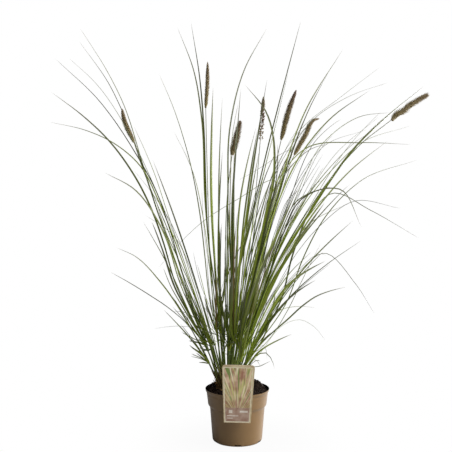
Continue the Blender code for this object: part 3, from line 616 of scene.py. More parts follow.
def add_wrap(skin, foot, lip, luck, length):
    """A dead strip round the foot of a shoot, open on one side and flared at its ragged top."""
    ahead = unit(lip - foot)
    side, back = side_and_back(ahead)
    start = luck.uniform(0, math.tau)
    reach = luck.uniform(*WRAP_AROUND)
    angles = start + np.linspace(0, reach, 5)
    shares = np.linspace(0.0, 1.0, 7)
    ragged = np.array([luck.uniform(0.75, 1.0) for _ in angles])
    flare = luck.uniform(*WRAP_FLARE_MM) * MM
    rings = []
    for share in shares:
        radius = WRAP_RADIUS + flare * share**3
        close = 1 - 0.6 * share**2
        bent = start + reach / 2 + (angles - start - reach / 2) * close
        spots = foot + np.outer(share * ragged * length, ahead)
        out = np.outer(np.cos(bent), side) + np.outer(np.sin(bent), back)
        rings.append(np.vstack((spots + out * radius, (spots + out * (radius + WRAP_THICK))[::-1])))
    across = np.concatenate((np.linspace(-1, 1, 5), np.linspace(1, -1, 5)))
    skin.add_rings(rings, shares, across, luck.random(), luck.uniform(0.8, 1.0), finish=1)


print("a wrap reaches", [round(math.degrees(angle)) for angle in WRAP_AROUND], "degrees round its shoot")

# %% [markdown]
# ## Shoots
#
# A shoot carries three long leaves, whose lines the CAD gives, and between them young leaves and a
# few short ones. They could be copies of one leaf, but no two leaves are alike, so chance picks
# their widths, lengths, lean and tone, from a fixed seed that gives the same clump each time.
# Groups of shoots differ as on the plant: sparse and upright on the left, full on the right.

# %% Groups of shoots
# From the left of the clump: the last shoot of the group, how broad its leaves are, how many young
# leaves each shoot has, how long they are as shares of the leaf that they stand beside, how far
# they lean away and where they droop, in mm, and how many short leaves each shoot has.
SHOOT_GROUPS = (
    (3, 1.00, 4, (0.18, 0.50), 20, (-14, 0, -10), 4),
    (8, 0.90, 2, (0.10, 0.26), 20, (-14, 0, -10), 3),
    (13, 0.70, 3, (0.12, 0.45), 26, (-2, 0, -4), 3),
    (17, 1.08, 4, (0.40, 0.80), 34, (4, 0, -4), 3),
    (24, 1.12, 3, (0.20, 0.74), 32, (-4, 0, 0), 3),
    (31, 1.20, 5, (0.58, 0.80), 30, (0, 0, 6), 1),
    (34, 1.10, 6, (0.66, 0.90), 24, (-10, 0, 14), 1),
    (37, 0.85, 3, (0.50, 0.75), 26, (-50, 0, 30), 1),
    (42, 0.90, 2, (0.30, 0.80), 10, (0, 0, 0), 0),
)
# How broad a leaf is beside the usual: a few are bold, most are slim. Bold leaves stand in the light,
# so they take light tones, which are painted light. Slim and young leaves take mostly dark tones,
# which are painted shade deep in the clump. A leaf that arches over, and so is this much longer than
# the straight way from its root to its tip, is slim. A few young leaves are dead.
FIRST_LEAF = (0.8, 0.9, 1.1, 1.6)
OTHER_LEAF = (0.55, 0.7, 0.9, 1.4)
YOUNG_LEAF = (0.6, 0.8, 1.1, 1.6)
BOLD = 1.15
BOLD_LIT_TONES = (0.5, 0.8, 1.0)
SLIM_SHADED_TONES = (0.0, 0.1, 0.5, 1.0)
YOUNG_SHADED_TONES = (0.0, 0.2, 0.6)
ARCH = 1.05
ARCH_WIDTH = 0.5
SHORT_LEAVES = (0.06, 0.20)
SHORT_SPREAD = 26
SHORT_WIDTH = 1.2
DEAD_SHARE = 0.03
DEAD_DRY = 0.9
WRAPS = 3
WRAP_LENGTH_MM = (14, 48)
print("groups of shoots:", len(SHOOT_GROUPS))

# %% Build every shoot
def beside(luck, spread, droop):
    """How far the tip of a young leaf stands from its place on the leaf that it grows beside."""
    lean = luck.uniform(0, math.tau)
    far = luck.uniform(0.35, 1.0) * spread
    aside = np.array((math.cos(lean) * far, math.sin(lean) * far, luck.uniform(-0.5, 0.1) * far))
    return (aside + droop) * MM


def build_shoot(node, number):
    foot, lip, leaves = shoots[node]
    luck = random.Random(100 + number)
    skin = Skin()
    group = next(group for group in SHOOT_GROUPS if number <= group[0])
    _, broad, young, lengths, spread, droop, short = group
    for leaf, widths in zip(leaves, (FIRST_LEAF, OTHER_LEAF, OTHER_LEAF)):
        width = luck.choice(widths) * luck.uniform(0.9, 1.1) * broad
        # Light tones are painted light on bold leaves, and mostly dark tones are painted shade on slim ones.
        tone = luck.choice(BOLD_LIT_TONES if width > BOLD else SLIM_SHADED_TONES)
        ends = leaf.read(np.array((0.0, 1.0)))[0]
        if leaf.length > ARCH * np.linalg.norm(ends[1] - ends[0]):
            width = width * ARCH_WIDTH
        add_leaf(skin, leaf, luck, tone, width=width)
    for extra in range(young):
        dead = DEAD_DRY if luck.random() < DEAD_SHARE else 0.0
        width = luck.choice(YOUNG_LEAF) * broad
        reach = luck.uniform(*lengths)
        tip = beside(luck, spread, droop)
        # Young leaves take mostly dark tones: painted shade inside the clump.
        tone = luck.choice(YOUNG_SHADED_TONES)
        add_leaf(skin, leaves[extra % len(leaves)], luck, tone, reach, width, tip, dead)
    for extra in range(short):
        reach = luck.uniform(*SHORT_LEAVES)
        tip = beside(luck, SHORT_SPREAD, droop)
        tone = luck.choice(YOUNG_SHADED_TONES)
        add_leaf(skin, leaves[extra % len(leaves)], luck, tone, reach, SHORT_WIDTH, tip)
    add_sheath(skin, foot, lip, luck)
    for _ in range(WRAPS):
        add_wrap(skin, foot, lip, luck, luck.uniform(*WRAP_LENGTH_MM) * MM)
    mesh = skin.build(node, (leaf_finish, sheath_finish))
    return add_piece(f"{node}_leaves", mesh, node)


made = [build_shoot(node, number) for number, node in enumerate(shoot_nodes, start=1)]
print("shoots:", len(made), "faces:", sum(len(piece.data.polygons) for piece in made))

# %% [markdown]
# ## Flower stems
#
# A flowering stem, or culm, is a round green straw with a few swollen joints, darker and purplish
# towards the flower. Its CAD tube has five sides, and the middles of its rings give the line that a
# finer tube follows. A curve with a bevel would be as round, but rings can swell at each joint.

# %% Culm material
# To the eye the culm is smooth and satin, so that light runs down it in one narrow streak.
FLECKS_PER_METRE = 260  # about 4 mm each

culm_finish, tree, _, fleck, colour = mottled("culm_smooth_green", "#4d6124", "#7c8c45", FLECKS_PER_METRE, 2)
along = add_node(tree, "Attribute", {}, "Fac", attribute_name="along")
colour = lay_over(tree, colour, "#5a5232", along, (0.7, 1.0), (0.0, 0.7))  # purplish near the flower
relief = add_node(tree, "Bump", {"Height": fleck, "Strength": 0.2, "Distance": 0.05 * MM})
end_finish(tree, {"Base Color": colour, "Roughness": 0.42, "IOR": 1.45, "Normal": relief})
print("nodes in the culm's finish:", len(tree.nodes))

# %% Read a CAD tube
def tube_middles(node, sides):
    """The middles of a CAD tube's rings, from its lowest end, and its mean radius at each."""
    places, near = joined_points(node)
    lowest = set(np.argsort(places[:, 2])[:sides].tolist())
    rings = rings_from(set(), lowest, near)
    middles = np.array([places[ring].mean(axis=0) for ring in rings])
    radii = [np.linalg.norm(places[ring] - middle, axis=1).mean() for ring, middle in zip(rings, middles)]
    return middles, np.array(radii)


print("rings of the first culm:", len(tube_middles("flower_stem_1", 5)[0]))

# %% Build the culms
CULM_CAD_SIDES = 5
CULM_SIDES = 10
CULM_RINGS = 64
JOINTS = (0.22, 0.45, 0.68)  # shares of the culm's length
JOINT_STRAYS = 0.05
JOINT_SWELLS = 0.45 * MM
JOINT_LENGTH = 0.008


def build_culm(number):
    node = f"flower_stem_{number}"
    luck = random.Random(300 + number)
    middles, radii = tube_middles(node, CULM_CAD_SIDES)
    shares = np.linspace(0, 1, CULM_RINGS)
    thick = np.interp(shares, np.linspace(0, 1, len(radii)), radii)
    for joint in JOINTS:
        away = (shares - joint - luck.uniform(-JOINT_STRAYS, JOINT_STRAYS)) / JOINT_LENGTH
        thick = thick + JOINT_SWELLS * np.exp(-(away**2))
    skin = Skin()
    add_round(skin, through(middles, shares), thick, CULM_SIDES, 0.5)
    mesh = skin.build(node, (culm_finish,))
    return add_piece(f"{node}_culm", mesh, node)


culms = [build_culm(number) for number in range(1, 8)]
print("culms:", len(culms))

# %% [markdown]
# ## Flower spikes
#
# The flower of a fountain grass is a bottle brush: a core packed with small seed husks in a spiral,
# each with long bristles that point up and outwards. The fourth flower has dropped most husks of
# its lower half, and the rest hang there on thin stalks. Particles would be quicker, but an export
# drops them, so every husk and bristle is a small mesh in one joined piece. Real bristles are
# 0.1 mm thick, and these are 0.4 mm at their root so that they show.

# %% Spike material
# To the eye the husks are chaffy: dull and papery, greenish at the foot of the flower, straw brown
# above it, and purple towards the tip where they aren't ripe.
husk_finish, tree = new_finish("seed_husk_chaffy")
height, tone, unripe = (
    add_node(tree, "Attribute", {}, "Fac", attribute_name=name) for name in ("across", "tone", "dry")
)
colour = lay_over(tree, "#817050", "#c0b187", tone)
colour = lay_over(tree, colour, "#aca066", height, (0.0, 0.35), (0.55, 0.0))
colour = lay_over(tree, colour, "#86646a", unripe)
end_finish(tree, {"Base Color": colour, "Roughness": 0.75, "IOR": 1.45})
print("nodes in the husk's finish:", len(tree.nodes))

# %% Husks and bristles
# Radii in mm at the root, and a third and two thirds of the way to the point.
HUSK_RADII = (0.35, 0.75, 0.6)
LOOSE_HUSK_RADII = (0.7, 1.5, 1.2)
STALK_RADII = (0.2, 0.2, 0.2)
BRISTLE_RADII = (0.2, 0.17, 0.12)


def add_thorn(skin, root, direction, bend, length, radii, sides, tone, purple, height):
    """A small round piece that ends in a point: a bristle, or a husk where its middle is thicker."""
    shares = np.linspace(0, 1, 4)
    middles = root + np.outer(shares * length, direction) + np.outer(shares**2 * length, bend)
    add_round(skin, middles[:-1], np.array(radii) * MM, sides, tone, purple, middles[-1], height)


print("a husk is up to", 2 * max(HUSK_RADII), "mm thick, and a loose one", 2 * max(LOOSE_HUSK_RADII), "mm")

# %% Flower outlines
# How thick a flower is from foot to tip, as shares of its CAD thickness: most are spindles, the
# third and the seventh are blunt, and the fourth opens out as it drops its seed.
OUTLINE_AT = (0.0, 0.06, 0.3, 0.65, 0.9, 1.0)
SPINDLE = (0.65, 0.98, 1.22, 1.08, 0.58, 0.12)
OUTLINES = {
    3: (1.0, 1.2, 1.2, 1.0, 0.62, 0.1),
    4: (1.6, 1.9, 1.6, 1.1, 0.6, 0.15),
    7: (0.95, 1.15, 1.15, 1.05, 0.85, 0.5),
}
# The share of husks that is left on the lower part of a flower that has begun to drop its seed.
HUSKS_LEFT = {4: 0.30, 2: 0.75, 7: 0.85}
FULL_FROM = 0.72
BARE_BELOW = 0.5
# How purple a flower's tip is, and from where on.
PURPLE_TIPS = {5: 0.8, 3: 0.6}
PURPLE_TIP = 0.3
PURPLE_FROM = 0.4
print("flowers with an outline of their own:", list(OUTLINES))

# %% Build the spikes
SPIKE_CAD_SIDES = 6
SPINE_STEPS = 60
CORE_SHARE = 0.5
CORE_SIDES = 10
BARE_CORE = 0.7 * MM
HUSK_STEP = 0.30 * MM
HUSK_LONG = 5.5 * MM
LOOSE_HUSK = 4 * MM
BRISTLES_PER_HUSK = 5
CURVE = 0.15  # how much husks and bristles bend towards the flower's tip
# Between these, chance picks how far a piece leans out, how long it is beside the flower's radius,
# and how far the bristles of a husk spread.
HUSK_LEANS = (0.6, 0.9)
STALK_LENGTHS = (0.35, 0.95)
BRISTLE_LEANS = (0.5, 0.8)
BRISTLE_LENGTHS = (0.85, 1.2)
BRISTLE_SPREADS = (-0.7, 0.7)
SPIRAL = math.pi * (3 - math.sqrt(5))  # the golden angle, by which each husk is turned from the last


def build_spike(number):
    """A flower: a core along its CAD line, and husks with bristles in a spiral round it."""
    node = f"flower_spike_{number}"
    luck = random.Random(500 + number)
    middles, radii = tube_middles(node, SPIKE_CAD_SIDES)
    spine = through(middles, np.linspace(0, 1, SPINE_STEPS))
    length = np.linalg.norm(np.diff(spine, axis=0), axis=1).sum()
    ahead = unit(np.gradient(spine, axis=0))
    widest = radii.max()
    outline = OUTLINES.get(number, SPINDLE)
    left = HUSKS_LEFT.get(number, 1.0)
    steps = np.linspace(0, 1, SPINE_STEPS)[:-1]
    core = widest * CORE_SHARE * np.interp(steps, OUTLINE_AT, outline)
    core = np.where((left < BARE_BELOW) & (steps <= FULL_FROM), BARE_CORE, core)
    skin = Skin()
    add_round(skin, spine[:-1], core, CORE_SIDES, 0.3, 0.0, spine[-1], 0.5)
    husks = int(length / HUSK_STEP)
    for count in range(husks):
        share = (count + 0.5) / husks
        if luck.random() > left + (1 - left) * min(1.0, share / FULL_FROM) ** 4:
            continue
        at = share * (SPINE_STEPS - 1.01)
        low = int(at)
        root = spine[low] + (spine[low + 1] - spine[low]) * (at - low)
        way = ahead[low]
        bend = way * CURVE
        side, back = side_and_back(way)
        angle = count * SPIRAL + luck.uniform(-0.3, 0.3)
        out = side * math.cos(angle) + back * math.sin(angle)
        reach = widest * np.interp(share, OUTLINE_AT, outline)
        above = max(0.0, share - PURPLE_FROM) / (1 - PURPLE_FROM)
        purple = PURPLE_TIPS.get(number, PURPLE_TIP) * above * luck.uniform(0.6, 1.0)
        lean = unit(out * luck.uniform(*HUSK_LEANS) + way)
        if left < BARE_BELOW and share < FULL_FROM:
            long = luck.uniform(*STALK_LENGTHS) * reach
            tone = luck.random()
            add_thorn(skin, root, lean, way * 0.1, long * 1.3, STALK_RADII, 3, tone, purple, share)
            add_thorn(skin, root + lean * long, lean, bend, LOOSE_HUSK, LOOSE_HUSK_RADII, 6, 0.0, 0.3, share)
            continue
        root = root + out * 0.25 * reach
        long = min(HUSK_LONG, reach * 1.1)
        add_thorn(skin, root, lean, bend, long, HUSK_RADII, 5, luck.random(), purple, share)
        for _ in range(BRISTLES_PER_HUSK):
            aside = side * luck.uniform(*BRISTLE_SPREADS) + back * luck.uniform(*BRISTLE_SPREADS)
            lean = unit(unit(out + aside) * luck.uniform(*BRISTLE_LEANS) + way)
            steep = math.sqrt(max(1 - (lean @ way) ** 2, 0.15))
            long = 0.75 * reach * luck.uniform(*BRISTLE_LENGTHS) / steep
            add_thorn(skin, root, lean, bend, long, BRISTLE_RADII, 3, luck.random(), purple, share)
    mesh = skin.build(node, (husk_finish,), 80)
    return add_piece(f"{node}_bristles", mesh, node)


spikes = [build_spike(number) for number in range(1, 8)]
print("spikes:", len(spikes), "faces:", sum(len(piece.data.polygons) for piece in spikes))

# %% [markdown]
# ## Old leaf bases
#
# The clump stands on a crown of dead stubs, fibrous and brown, which pokes through between the
# shoots. A low mound with a rough surface fills the crown's CAD outline, and a few hundred short
# dry strips stand on it, cut off at odd heights as the old leaves broke. A fibrous texture alone
# would look flat, because the stubs cast shadows on each other.

# %% Build the crown
MOUND_RINGS = 9
MOUND_SIDES = 72
MOUND_FILL = 0.93  # how much of the CAD crown's half width the mound fills
STUBS = 340
STUB_SUNK = 6 * MM
STUB_TALL_MM = (8, 30)
STUB_CURL = 4 * MM
STUBS_OUT = 0.9  # how far out they stand, as a share of the crown's half width
STUB_FANS = 0.45  # how far the outermost stubs lean outwards


def build_crown():
    luck = random.Random(41)
    low, high = (np.array(corner[:]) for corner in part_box("crown"))
    centre = (low + high) / 2
    half = (high - low) / 2
    skin = Skin()
    angles = np.linspace(0, math.tau, MOUND_SIDES, endpoint=False)
    rings = []
    for share in np.linspace(0, 1, MOUND_RINGS):
        out = MOUND_FILL * math.cos(share * math.pi / 2) ** 0.5
        out = out * (1 + 0.05 * np.sin(angles * 13 + share * 2) + 0.03 * np.sin(angles * 29))
        ring = centre + half * np.stack((out * np.cos(angles), out * np.sin(angles), 0 * angles), axis=1)
        ring[:, 2] = low[2] + (high[2] - low[2]) * share
        rings.append(ring)
    shares = np.linspace(0, 1, MOUND_RINGS - 1)
    skin.add_rings(rings[:-1], shares, np.cos(angles), 0.4, 1.0, tip=(*centre[:2], high[2]))
    shares = np.linspace(0, 1, 5)
    for _ in range(STUBS):
        out = math.sqrt(luck.random()) * STUBS_OUT
        angle = luck.uniform(0, math.tau)
        way = np.array((math.cos(angle), math.sin(angle), 0.0)) * out
        root = centre + half * way
        root[2] = high[2] - STUB_SUNK
        lean = unit(way * STUB_FANS + (0.0, 0.0, 1.0))
        tall = luck.uniform(*STUB_TALL_MM) * MM
        curl = np.array((luck.uniform(-1, 1), luck.uniform(-1, 1), 0.0)) * STUB_CURL
        middles = root + np.outer(shares * tall, lean) + np.outer(shares**2, curl)
        across = angle + 1.57  # a quarter turn
        side = unit(np.array((math.cos(across + luck.uniform(-0.7, 0.7)), math.sin(across), 0.0)))
        halves = np.interp(shares, (0, 0.6, 1.0), (1.6, 1.2, luck.uniform(0.3, 1.0))) * MM
        up = np.cross(side, lean)
        stub = blade_rings(middles, halves, np.tile(side, (5, 1)), np.tile(up, (5, 1)), 0.4)
        skin.add_rings(stub, shares, ACROSS, luck.random(), luck.uniform(0.75, 1.0))
    mesh = skin.build("crown", (sheath_finish,))
    return add_piece("crown_stubs", mesh, "crown")


crown = build_crown()
print("crown faces:", len(crown.data.polygons))

# %% [markdown]
# ## Soil
#
# Potting soil is moist peat: nearly black, dull, and made of crumbs from dust up to 5 mm. The CAD
# soil has the right heaps. A finer skin is laid over its top, by casting rays down on it, and
# roughened with noise. Then loose crumbs are strewn on it as small lumps, because a bump map alone
# leaves the surface smooth where it meets the pot.

# %% Soil material
# To the eye moist peat drinks the light: almost black, dull, and grainy where light falls on it.
CRUMBS_PER_METRE = 420  # about 2.4 mm each
PATCHES_PER_METRE = 70  # about 14 mm each

soil_finish, tree, place, crumb, colour = mottled(
    "peat_moist_crumbly", "#0f0a08", "#33241b", CRUMBS_PER_METRE, 6, Roughness=0.7
)
patch = add_node(tree, "TexNoise", {"Vector": place, "Scale": PATCHES_PER_METRE, "Detail": 2.0}, "Fac")
colour = lay_over(tree, colour, "#2c2018", patch, (0.5, 0.8), (0.0, 0.5))
relief = add_node(tree, "Bump", {"Height": crumb, "Strength": 0.8, "Distance": 0.8 * MM})
dull = {"Roughness": 0.95, "IOR": 1.4, "Specular IOR Level": 0.3}
end_finish(tree, {"Base Color": colour, "Normal": relief, **dull})
print("nodes in the soil's finish:", len(tree.nodes))

# %% Crumbs
CRUMBS = 1500
CRUMB_SIZES_MM = (0.7, 0.9, 1.1, 1.4, 1.9, 2.6)
# A low heap of coarse crumbs lies against the pot's left rear.
HEAP_CRUMBS = 260
HEAP_SIZES_MM = (2.0, 3.4)
HEAP_OUT = (0.82, 0.96)
HEAP_ANGLES = (1.9, 3.5)
HEAP_HIGH_MM = 5


def lump(luck, centre, size):
    """The points and faces of a crumb: a small ball, stretched, with its corners pushed about."""
    bm = bmesh.new()
    bmesh.ops.create_icosphere(bm, subdivisions=1, radius=size)
    stretch = [luck.uniform(0.6, 1.2) for _ in range(3)]
    for vertex in bm.verts:
        push = luck.uniform(0.75, 1.15)
        vertex.co = [axis * scale * push for axis, scale in zip(vertex.co, stretch)]
    points = [[a + b for a, b in zip(vertex.co, centre)] for vertex in bm.verts]
    faces = [tuple(vertex.index for vertex in face.verts) for face in bm.faces]
    bm.free()
    return points, faces


print("points of a crumb:", len(lump(random.Random(1), (0, 0, 0), MM)[0]))

# %% Build the soil
SOIL_RINGS = 60
SOIL_SIDES = 160
SOIL_GAP = 0.15 * MM  # between the soil and the pot's wall
SOIL_SIDE = ((0.985, 0.03), (0.955, 0.05))  # below its top: shares of its radius, and metres down
RAY_ABOVE = 0.05  # the rays start this high above the soil
TOP_FROM = 0.1  # a hit lower than this above the soil's foot isn't its top
NO_HIT_DROP = 0.02  # a ray that misses the top counts as this far below it
CRUMBS_OUT = 0.96  # how far out they lie, as a share of the soil's radius
CRUMB_LIFT = 0.35  # how far a crumb stands out of the soil, as a share of its size
# Two noises roughen the top: how many lumps a metre each has, where it starts and its height in mm.
ROUGHNESS = ((260, 0.3, 1.1), (90, 4.1, 1.6))


def build_soil():
    luck = random.Random(61)
    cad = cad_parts["soil"]
    low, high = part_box("soil")
    radius = (high.x - low.x) / 2 - SOIL_GAP

    def top_at(x, y):
        hit, spot, _, _ = cad.ray_cast(Vector((x, y, high.z + RAY_ABOVE)), Vector((0, 0, -1)))
        return spot.z if hit and spot.z > low.z + TOP_FROM else high.z - NO_HIT_DROP

    def rough(x, y, share):
        fine = sum(noise(Vector((x, y, start)) * lumps) * tall for lumps, start, tall in ROUGHNESS)
        return fine * MM * min(1.0, (1 - share) * 12)

    skin = Skin()
    rings = []
    for share in np.linspace(0, 1, SOIL_RINGS + 1).tolist():
        spots = []
        for angle in np.linspace(0, math.tau, SOIL_SIDES, endpoint=False).tolist():
            x, y = radius * share * math.cos(angle), radius * share * math.sin(angle)
            spots.append((x, y, top_at(x * 0.995, y * 0.995) + rough(x, y, share)))
        rings.append(spots)
    wall = np.array(rings[-1])
    order = list(reversed(rings[1:]))
    for narrower, down in SOIL_SIDE:
        order.insert(0, wall * (narrower, narrower, 0) + (0, 0, high.z - down))
    along = np.linspace(0, 1, len(order))
    skin.add_rings(order, along, np.zeros(SOIL_SIDES), 0.5, tip=(0, 0, top_at(0, 0)))
    for crumb in range(CRUMBS + HEAP_CRUMBS):
        out = math.sqrt(luck.random()) * CRUMBS_OUT
        angle = luck.uniform(0, math.tau)
        size = luck.choice(CRUMB_SIZES_MM) * MM
        lift = size * CRUMB_LIFT
        if crumb >= CRUMBS:
            out = luck.uniform(*HEAP_OUT)
            angle = luck.uniform(*HEAP_ANGLES)
            size = luck.uniform(*HEAP_SIZES_MM) * MM
            lift = luck.uniform(0, HEAP_HIGH_MM) * MM
        x, y = radius * out * math.cos(angle), radius * out * math.sin(angle)
        if out * radius + size > radius:
            continue
        points, faces = lump(luck, (x, y, top_at(x, y) + lift), size)
        first = len(skin.points)
        skin.points += points
        skin.numbers += [(0.0, 0.0, 0.5, 0.0)] * len(points)
        skin.faces += [tuple(first + index for index in face) for face in faces]
        skin.finishes += [0] * len(faces)
    mesh = skin.build("soil", (soil_finish,), 60)
    return add_piece("soil_peat", mesh, "soil")


soil = build_soil()
print("soil faces:", len(soil.data.polygons))

# %% [markdown]
# ## Pot
#
# Such a pot is thermoformed from a sheet of polypropylene in two layers, taupe outside and black
# inside. The sheet is 1 mm thick, the corners are soft, and the lip is cut clean, so the black
# layer shows as a dark line along it. The CAD's profile, with rounded corners and a fine ridge
# below the rim, is turned round the axis. Six drain notches, 60 degrees apart, are cut into the
# edge of the foot by Booleans, which leave cleaner edges than faces deleted by hand.

# %% Pot materials
CLOUDS_PER_METRE = 30  # about 33 mm each
# The hot sheet stretches over its mould and keeps a fine, uneven skin. It is drawn 0.7 mm fine,
# coarser than the real one, so that it shows.
SKIN_PER_METRE = 1400


def thermoformed(name, colours, gloss, grain, shine, dust):
    """Formed plastic sheet: two close colours in soft clouds, a faintly uneven skin, and dust."""
    finish, tree, place, cloud, colour = mottled(name, *colours, CLOUDS_PER_METRE, 4)
    skin = add_node(tree, "TexNoise", {"Vector": place, "Scale": SKIN_PER_METRE, "Detail": 2.0}, "Fac")
    rough = add_node(tree, "MapRange", {"Value": cloud, "To Min": gloss - 0.06, "To Max": gloss + 0.08})
    relief = add_node(tree, "Bump", {"Height": skin, "Strength": grain, "Distance": 0.05 * MM})
    surface = {"Base Color": colour, "Roughness": rough, "Normal": relief}
    surface |= {"IOR": 1.49, "Specular IOR Level": shine, "Sheen Weight": dust, "Sheen Roughness": 0.5}
    end_finish(tree, surface)
    return finish


# To the eye the outside is satin, with a soft pale edge where dust lies on it. The black inside is
# dull and gives back almost no light.
pot_taupe = thermoformed("polypropylene_taupe_thermoformed", ("#8b6838", "#94713f"), 0.40, 0.3, 1.0, 0.24)
pot_black = thermoformed("polypropylene_black_thermoformed", ("#120f0c", "#1a1613"), 0.85, 0.3, 0.02, 0.0)
print("pot finishes:", pot_taupe.name, pot_black.name)

# %% Turn the pot
# Radius and height in mm, up the outside from the middle of the foot and down the inside.
POT_PROFILE_MM = (
    (0, 0), (58.5, 0), (61.5, 0.15), (63.6, 0.9), (65.1, 2.4), (65.9, 4.4), (66.2, 7), (68.6, 37),
    (71, 67), (72.5, 85.5), (72.9, 88), (73.8, 90.4), (75.4, 92.4), (76.8, 94.3), (77.6, 96.2),
    (78, 98.5), (79.5, 111.5), (80.6, 119.8), (80.9, 120.6), (81.0, 121.4), (80.95, 122.2), (81.3, 126),
    (81.7, 128.3), (82.6, 129.5), (83.6, 130.4), (84.2, 132), (84.8, 135.6), (84.9, 136.6), (84.6, 137),
    (83.9, 137), (83.7, 136.4), (83.0, 132.6), (82.3, 131), (81.2, 129.9), (80.4, 128.8), (79.8, 124),
    (76.8, 98.6), (75.6, 95.3), (73, 92), (71.4, 87.5), (69.8, 67), (65, 7.2), (64.4, 4.4), (60.8, 1.5),
    (0, 1.5),
)
POT_SIDES = 144
# The black layer: all that faces inwards above the foot, the cut lip, and the foot's upper side.
FOOT_INSIDE = 1.4 * MM
LIP_FROM = 136.6 * MM
FOOT_RADIUS = 61 * MM


def is_inside(face):
    """Whether a face of the pot belongs to the black layer."""
    middle = face.calc_center_median()
    inwards = face.normal.x * middle.x + face.normal.y * middle.y < 0
    on_foot = math.hypot(middle.x, middle.y) < FOOT_RADIUS and face.normal.z > 0
    return (inwards and middle.z > FOOT_INSIDE) or middle.z > LIP_FROM or on_foot


def turn_pot():
    """The pot's mesh, turned from its profile, with the inner layer in black."""
    bm = bmesh.new()
    points = [bm.verts.new((radius * MM, 0, height * MM)) for radius, height in POT_PROFILE_MM]
    edges = [bm.edges.new(pair) for pair in zip(points, points[1:])]
    turn = {"cent": (0, 0, 0), "axis": (0, 0, 1), "angle": math.tau, "steps": POT_SIDES}
    bmesh.ops.spin(bm, geom=points + edges, use_merge=True, **turn)
    bmesh.ops.remove_doubles(bm, verts=bm.verts, dist=1e-6)
    bmesh.ops.recalc_face_normals(bm, faces=bm.faces)
    for face in bm.faces:
        face.material_index = 1 if is_inside(face) else 0
    mesh = bpy.data.meshes.new("pot")
    bm.to_mesh(mesh)
    bm.free()
    mesh.materials.append(pot_taupe)
    mesh.materials.append(pot_black)
    mesh.shade_smooth()
    mesh.set_sharp_from_angle(angle=math.radians(40))
    return mesh


pot = add_piece("pot_thermoformed", turn_pot(), "pot")
print("pot faces before the notches:", len(pot.data.polygons))

# %% Cut the drain notches
DRAIN_NOTCHES = 6
NOTCH_SIZE_MM = (9, 19, 12)  # outwards, across and tall, half of it below the foot
NOTCH_CORNER = 1.5 * MM
NOTCH_RADIUS = 66.5 * MM

cutters = []
for notch in range(DRAIN_NOTCHES):
    angle = math.tau * notch / DRAIN_NOTCHES - math.pi / 2
    spot = (NOTCH_RADIUS * math.cos(angle), NOTCH_RADIUS * math.sin(angle), 0)
    cut = bmesh.new()
    bmesh.ops.create_cube(cut, size=1)
    bmesh.ops.scale(cut, vec=[side * MM for side in NOTCH_SIZE_MM], verts=cut.verts)
    bmesh.ops.bevel(cut, geom=cut.edges[:], offset=NOTCH_CORNER, segments=3, affect="EDGES")
    bmesh.ops.rotate(cut, matrix=Matrix.Rotation(angle, 3, "Z"), verts=cut.verts)
    bmesh.ops.translate(cut, vec=spot, verts=cut.verts)
    cutter_mesh = bpy.data.meshes.new(f"drain_notch_{notch}")
    cut.to_mesh(cutter_mesh)
    cut.free()
    cutter_mesh.materials.append(pot_black if notch else pot_taupe)  # the front cut shows the taupe
    cutter = bpy.data.objects.new(cutter_mesh.name, cutter_mesh)
    bpy.context.scene.collection.objects.link(cutter)
    cutting = pot.modifiers.new(cutter.name, "BOOLEAN")
    cutting.object = cutter
    cutting.solver = "EXACT"
    cutting.material_mode = "TRANSFER"
    cutters.append(cutter)
pot_shown = pot.evaluated_get(bpy.context.evaluated_depsgraph_get())
pot_cut = bpy.data.meshes.new_from_object(pot_shown)
pot.modifiers.clear()
pot.data = pot_cut
for cutter in cutters:
    bpy.data.objects.remove(cutter)
print("pot faces:", len(pot.data.polygons))

# %% [markdown]
# ## Plant card
#
# The card is a thin polystyrene sheet, printed and varnished, that hangs on a tongue bent over the
# rim. Its front is cut into cells along the edges of each printed area, so that every area is a
# group of faces with its own finish and a crisp edge. A picture on one face would be quicker, but
# its edges blur close up. The print is a plain design: a tan rim, a pale line inside it, a panel
# with a fan of streaks in leaf colours, and a brown band with pale bars.

# %% Card materials
def varnished(tree, ink):
    """Ends a card finish: ink under varnish, which gives the eye a soft, even shine."""
    gloss = {"Roughness": 0.38, "IOR": 1.55, "Coat Weight": 0.25, "Coat Roughness": 0.2}
    end_finish(tree, {"Base Color": ink, **gloss})


def printed(name, low_colour, high_colour, grain):
    """Varnished print on a sheet: one ink runs into another in soft clouds, grain to a metre."""
    finish, tree, _, _, ink = mottled(name, low_colour, high_colour, grain, 3, (0.38, 0.62))
    varnished(tree, ink)
    return finish


# The last number is how many clouds of ink there are to a metre, 11 to 25 mm each. Real print has
# finer ones, which wouldn't show.
card_finishes = {
    "rim": printed("card_tan_varnished", "#cdb790", "#e6d3aa", 90.0),
    "line": printed("card_pale_line", "#f2e9c4", "#faf2d6", 40.0),
    "band": printed("card_brown_band", "#a8826e", "#c4a792", 60.0),
    "bar": printed("card_pale_bar", "#e6d8c6", "#f4eadc", 60.0),
    "back": printed("card_plain_back", "#dcd6c6", "#e4dfd2", 40.0),
}
print("plain card finishes:", list(card_finishes))

# %% The card's leafy panel
# Streaks spread like a fan from a point below the panel: how far each one is from the middle, divided
# by its height above that point, is the same all along it.
FAN_FOOT = 0.085
FAN_STREAKS = 17.0  # each about 4 mm wide halfway up the panel, and 7 mm at its top
PANEL_FOOT = (0.108, 0.14)  # between these heights, in metres, the panel's dark foot fades out
PANEL_CLOUDS_PER_METRE = 48  # about 21 mm each
# Each layer of streaks: where its noise starts, how much of it shows, and its colour.
STREAKS = ((0.0, 0.51, "#d9d088"), (3.0, 0.56, "#83984c"), (7.0, 0.57, "#fbecc6"))
STREAK_EDGE = 0.08

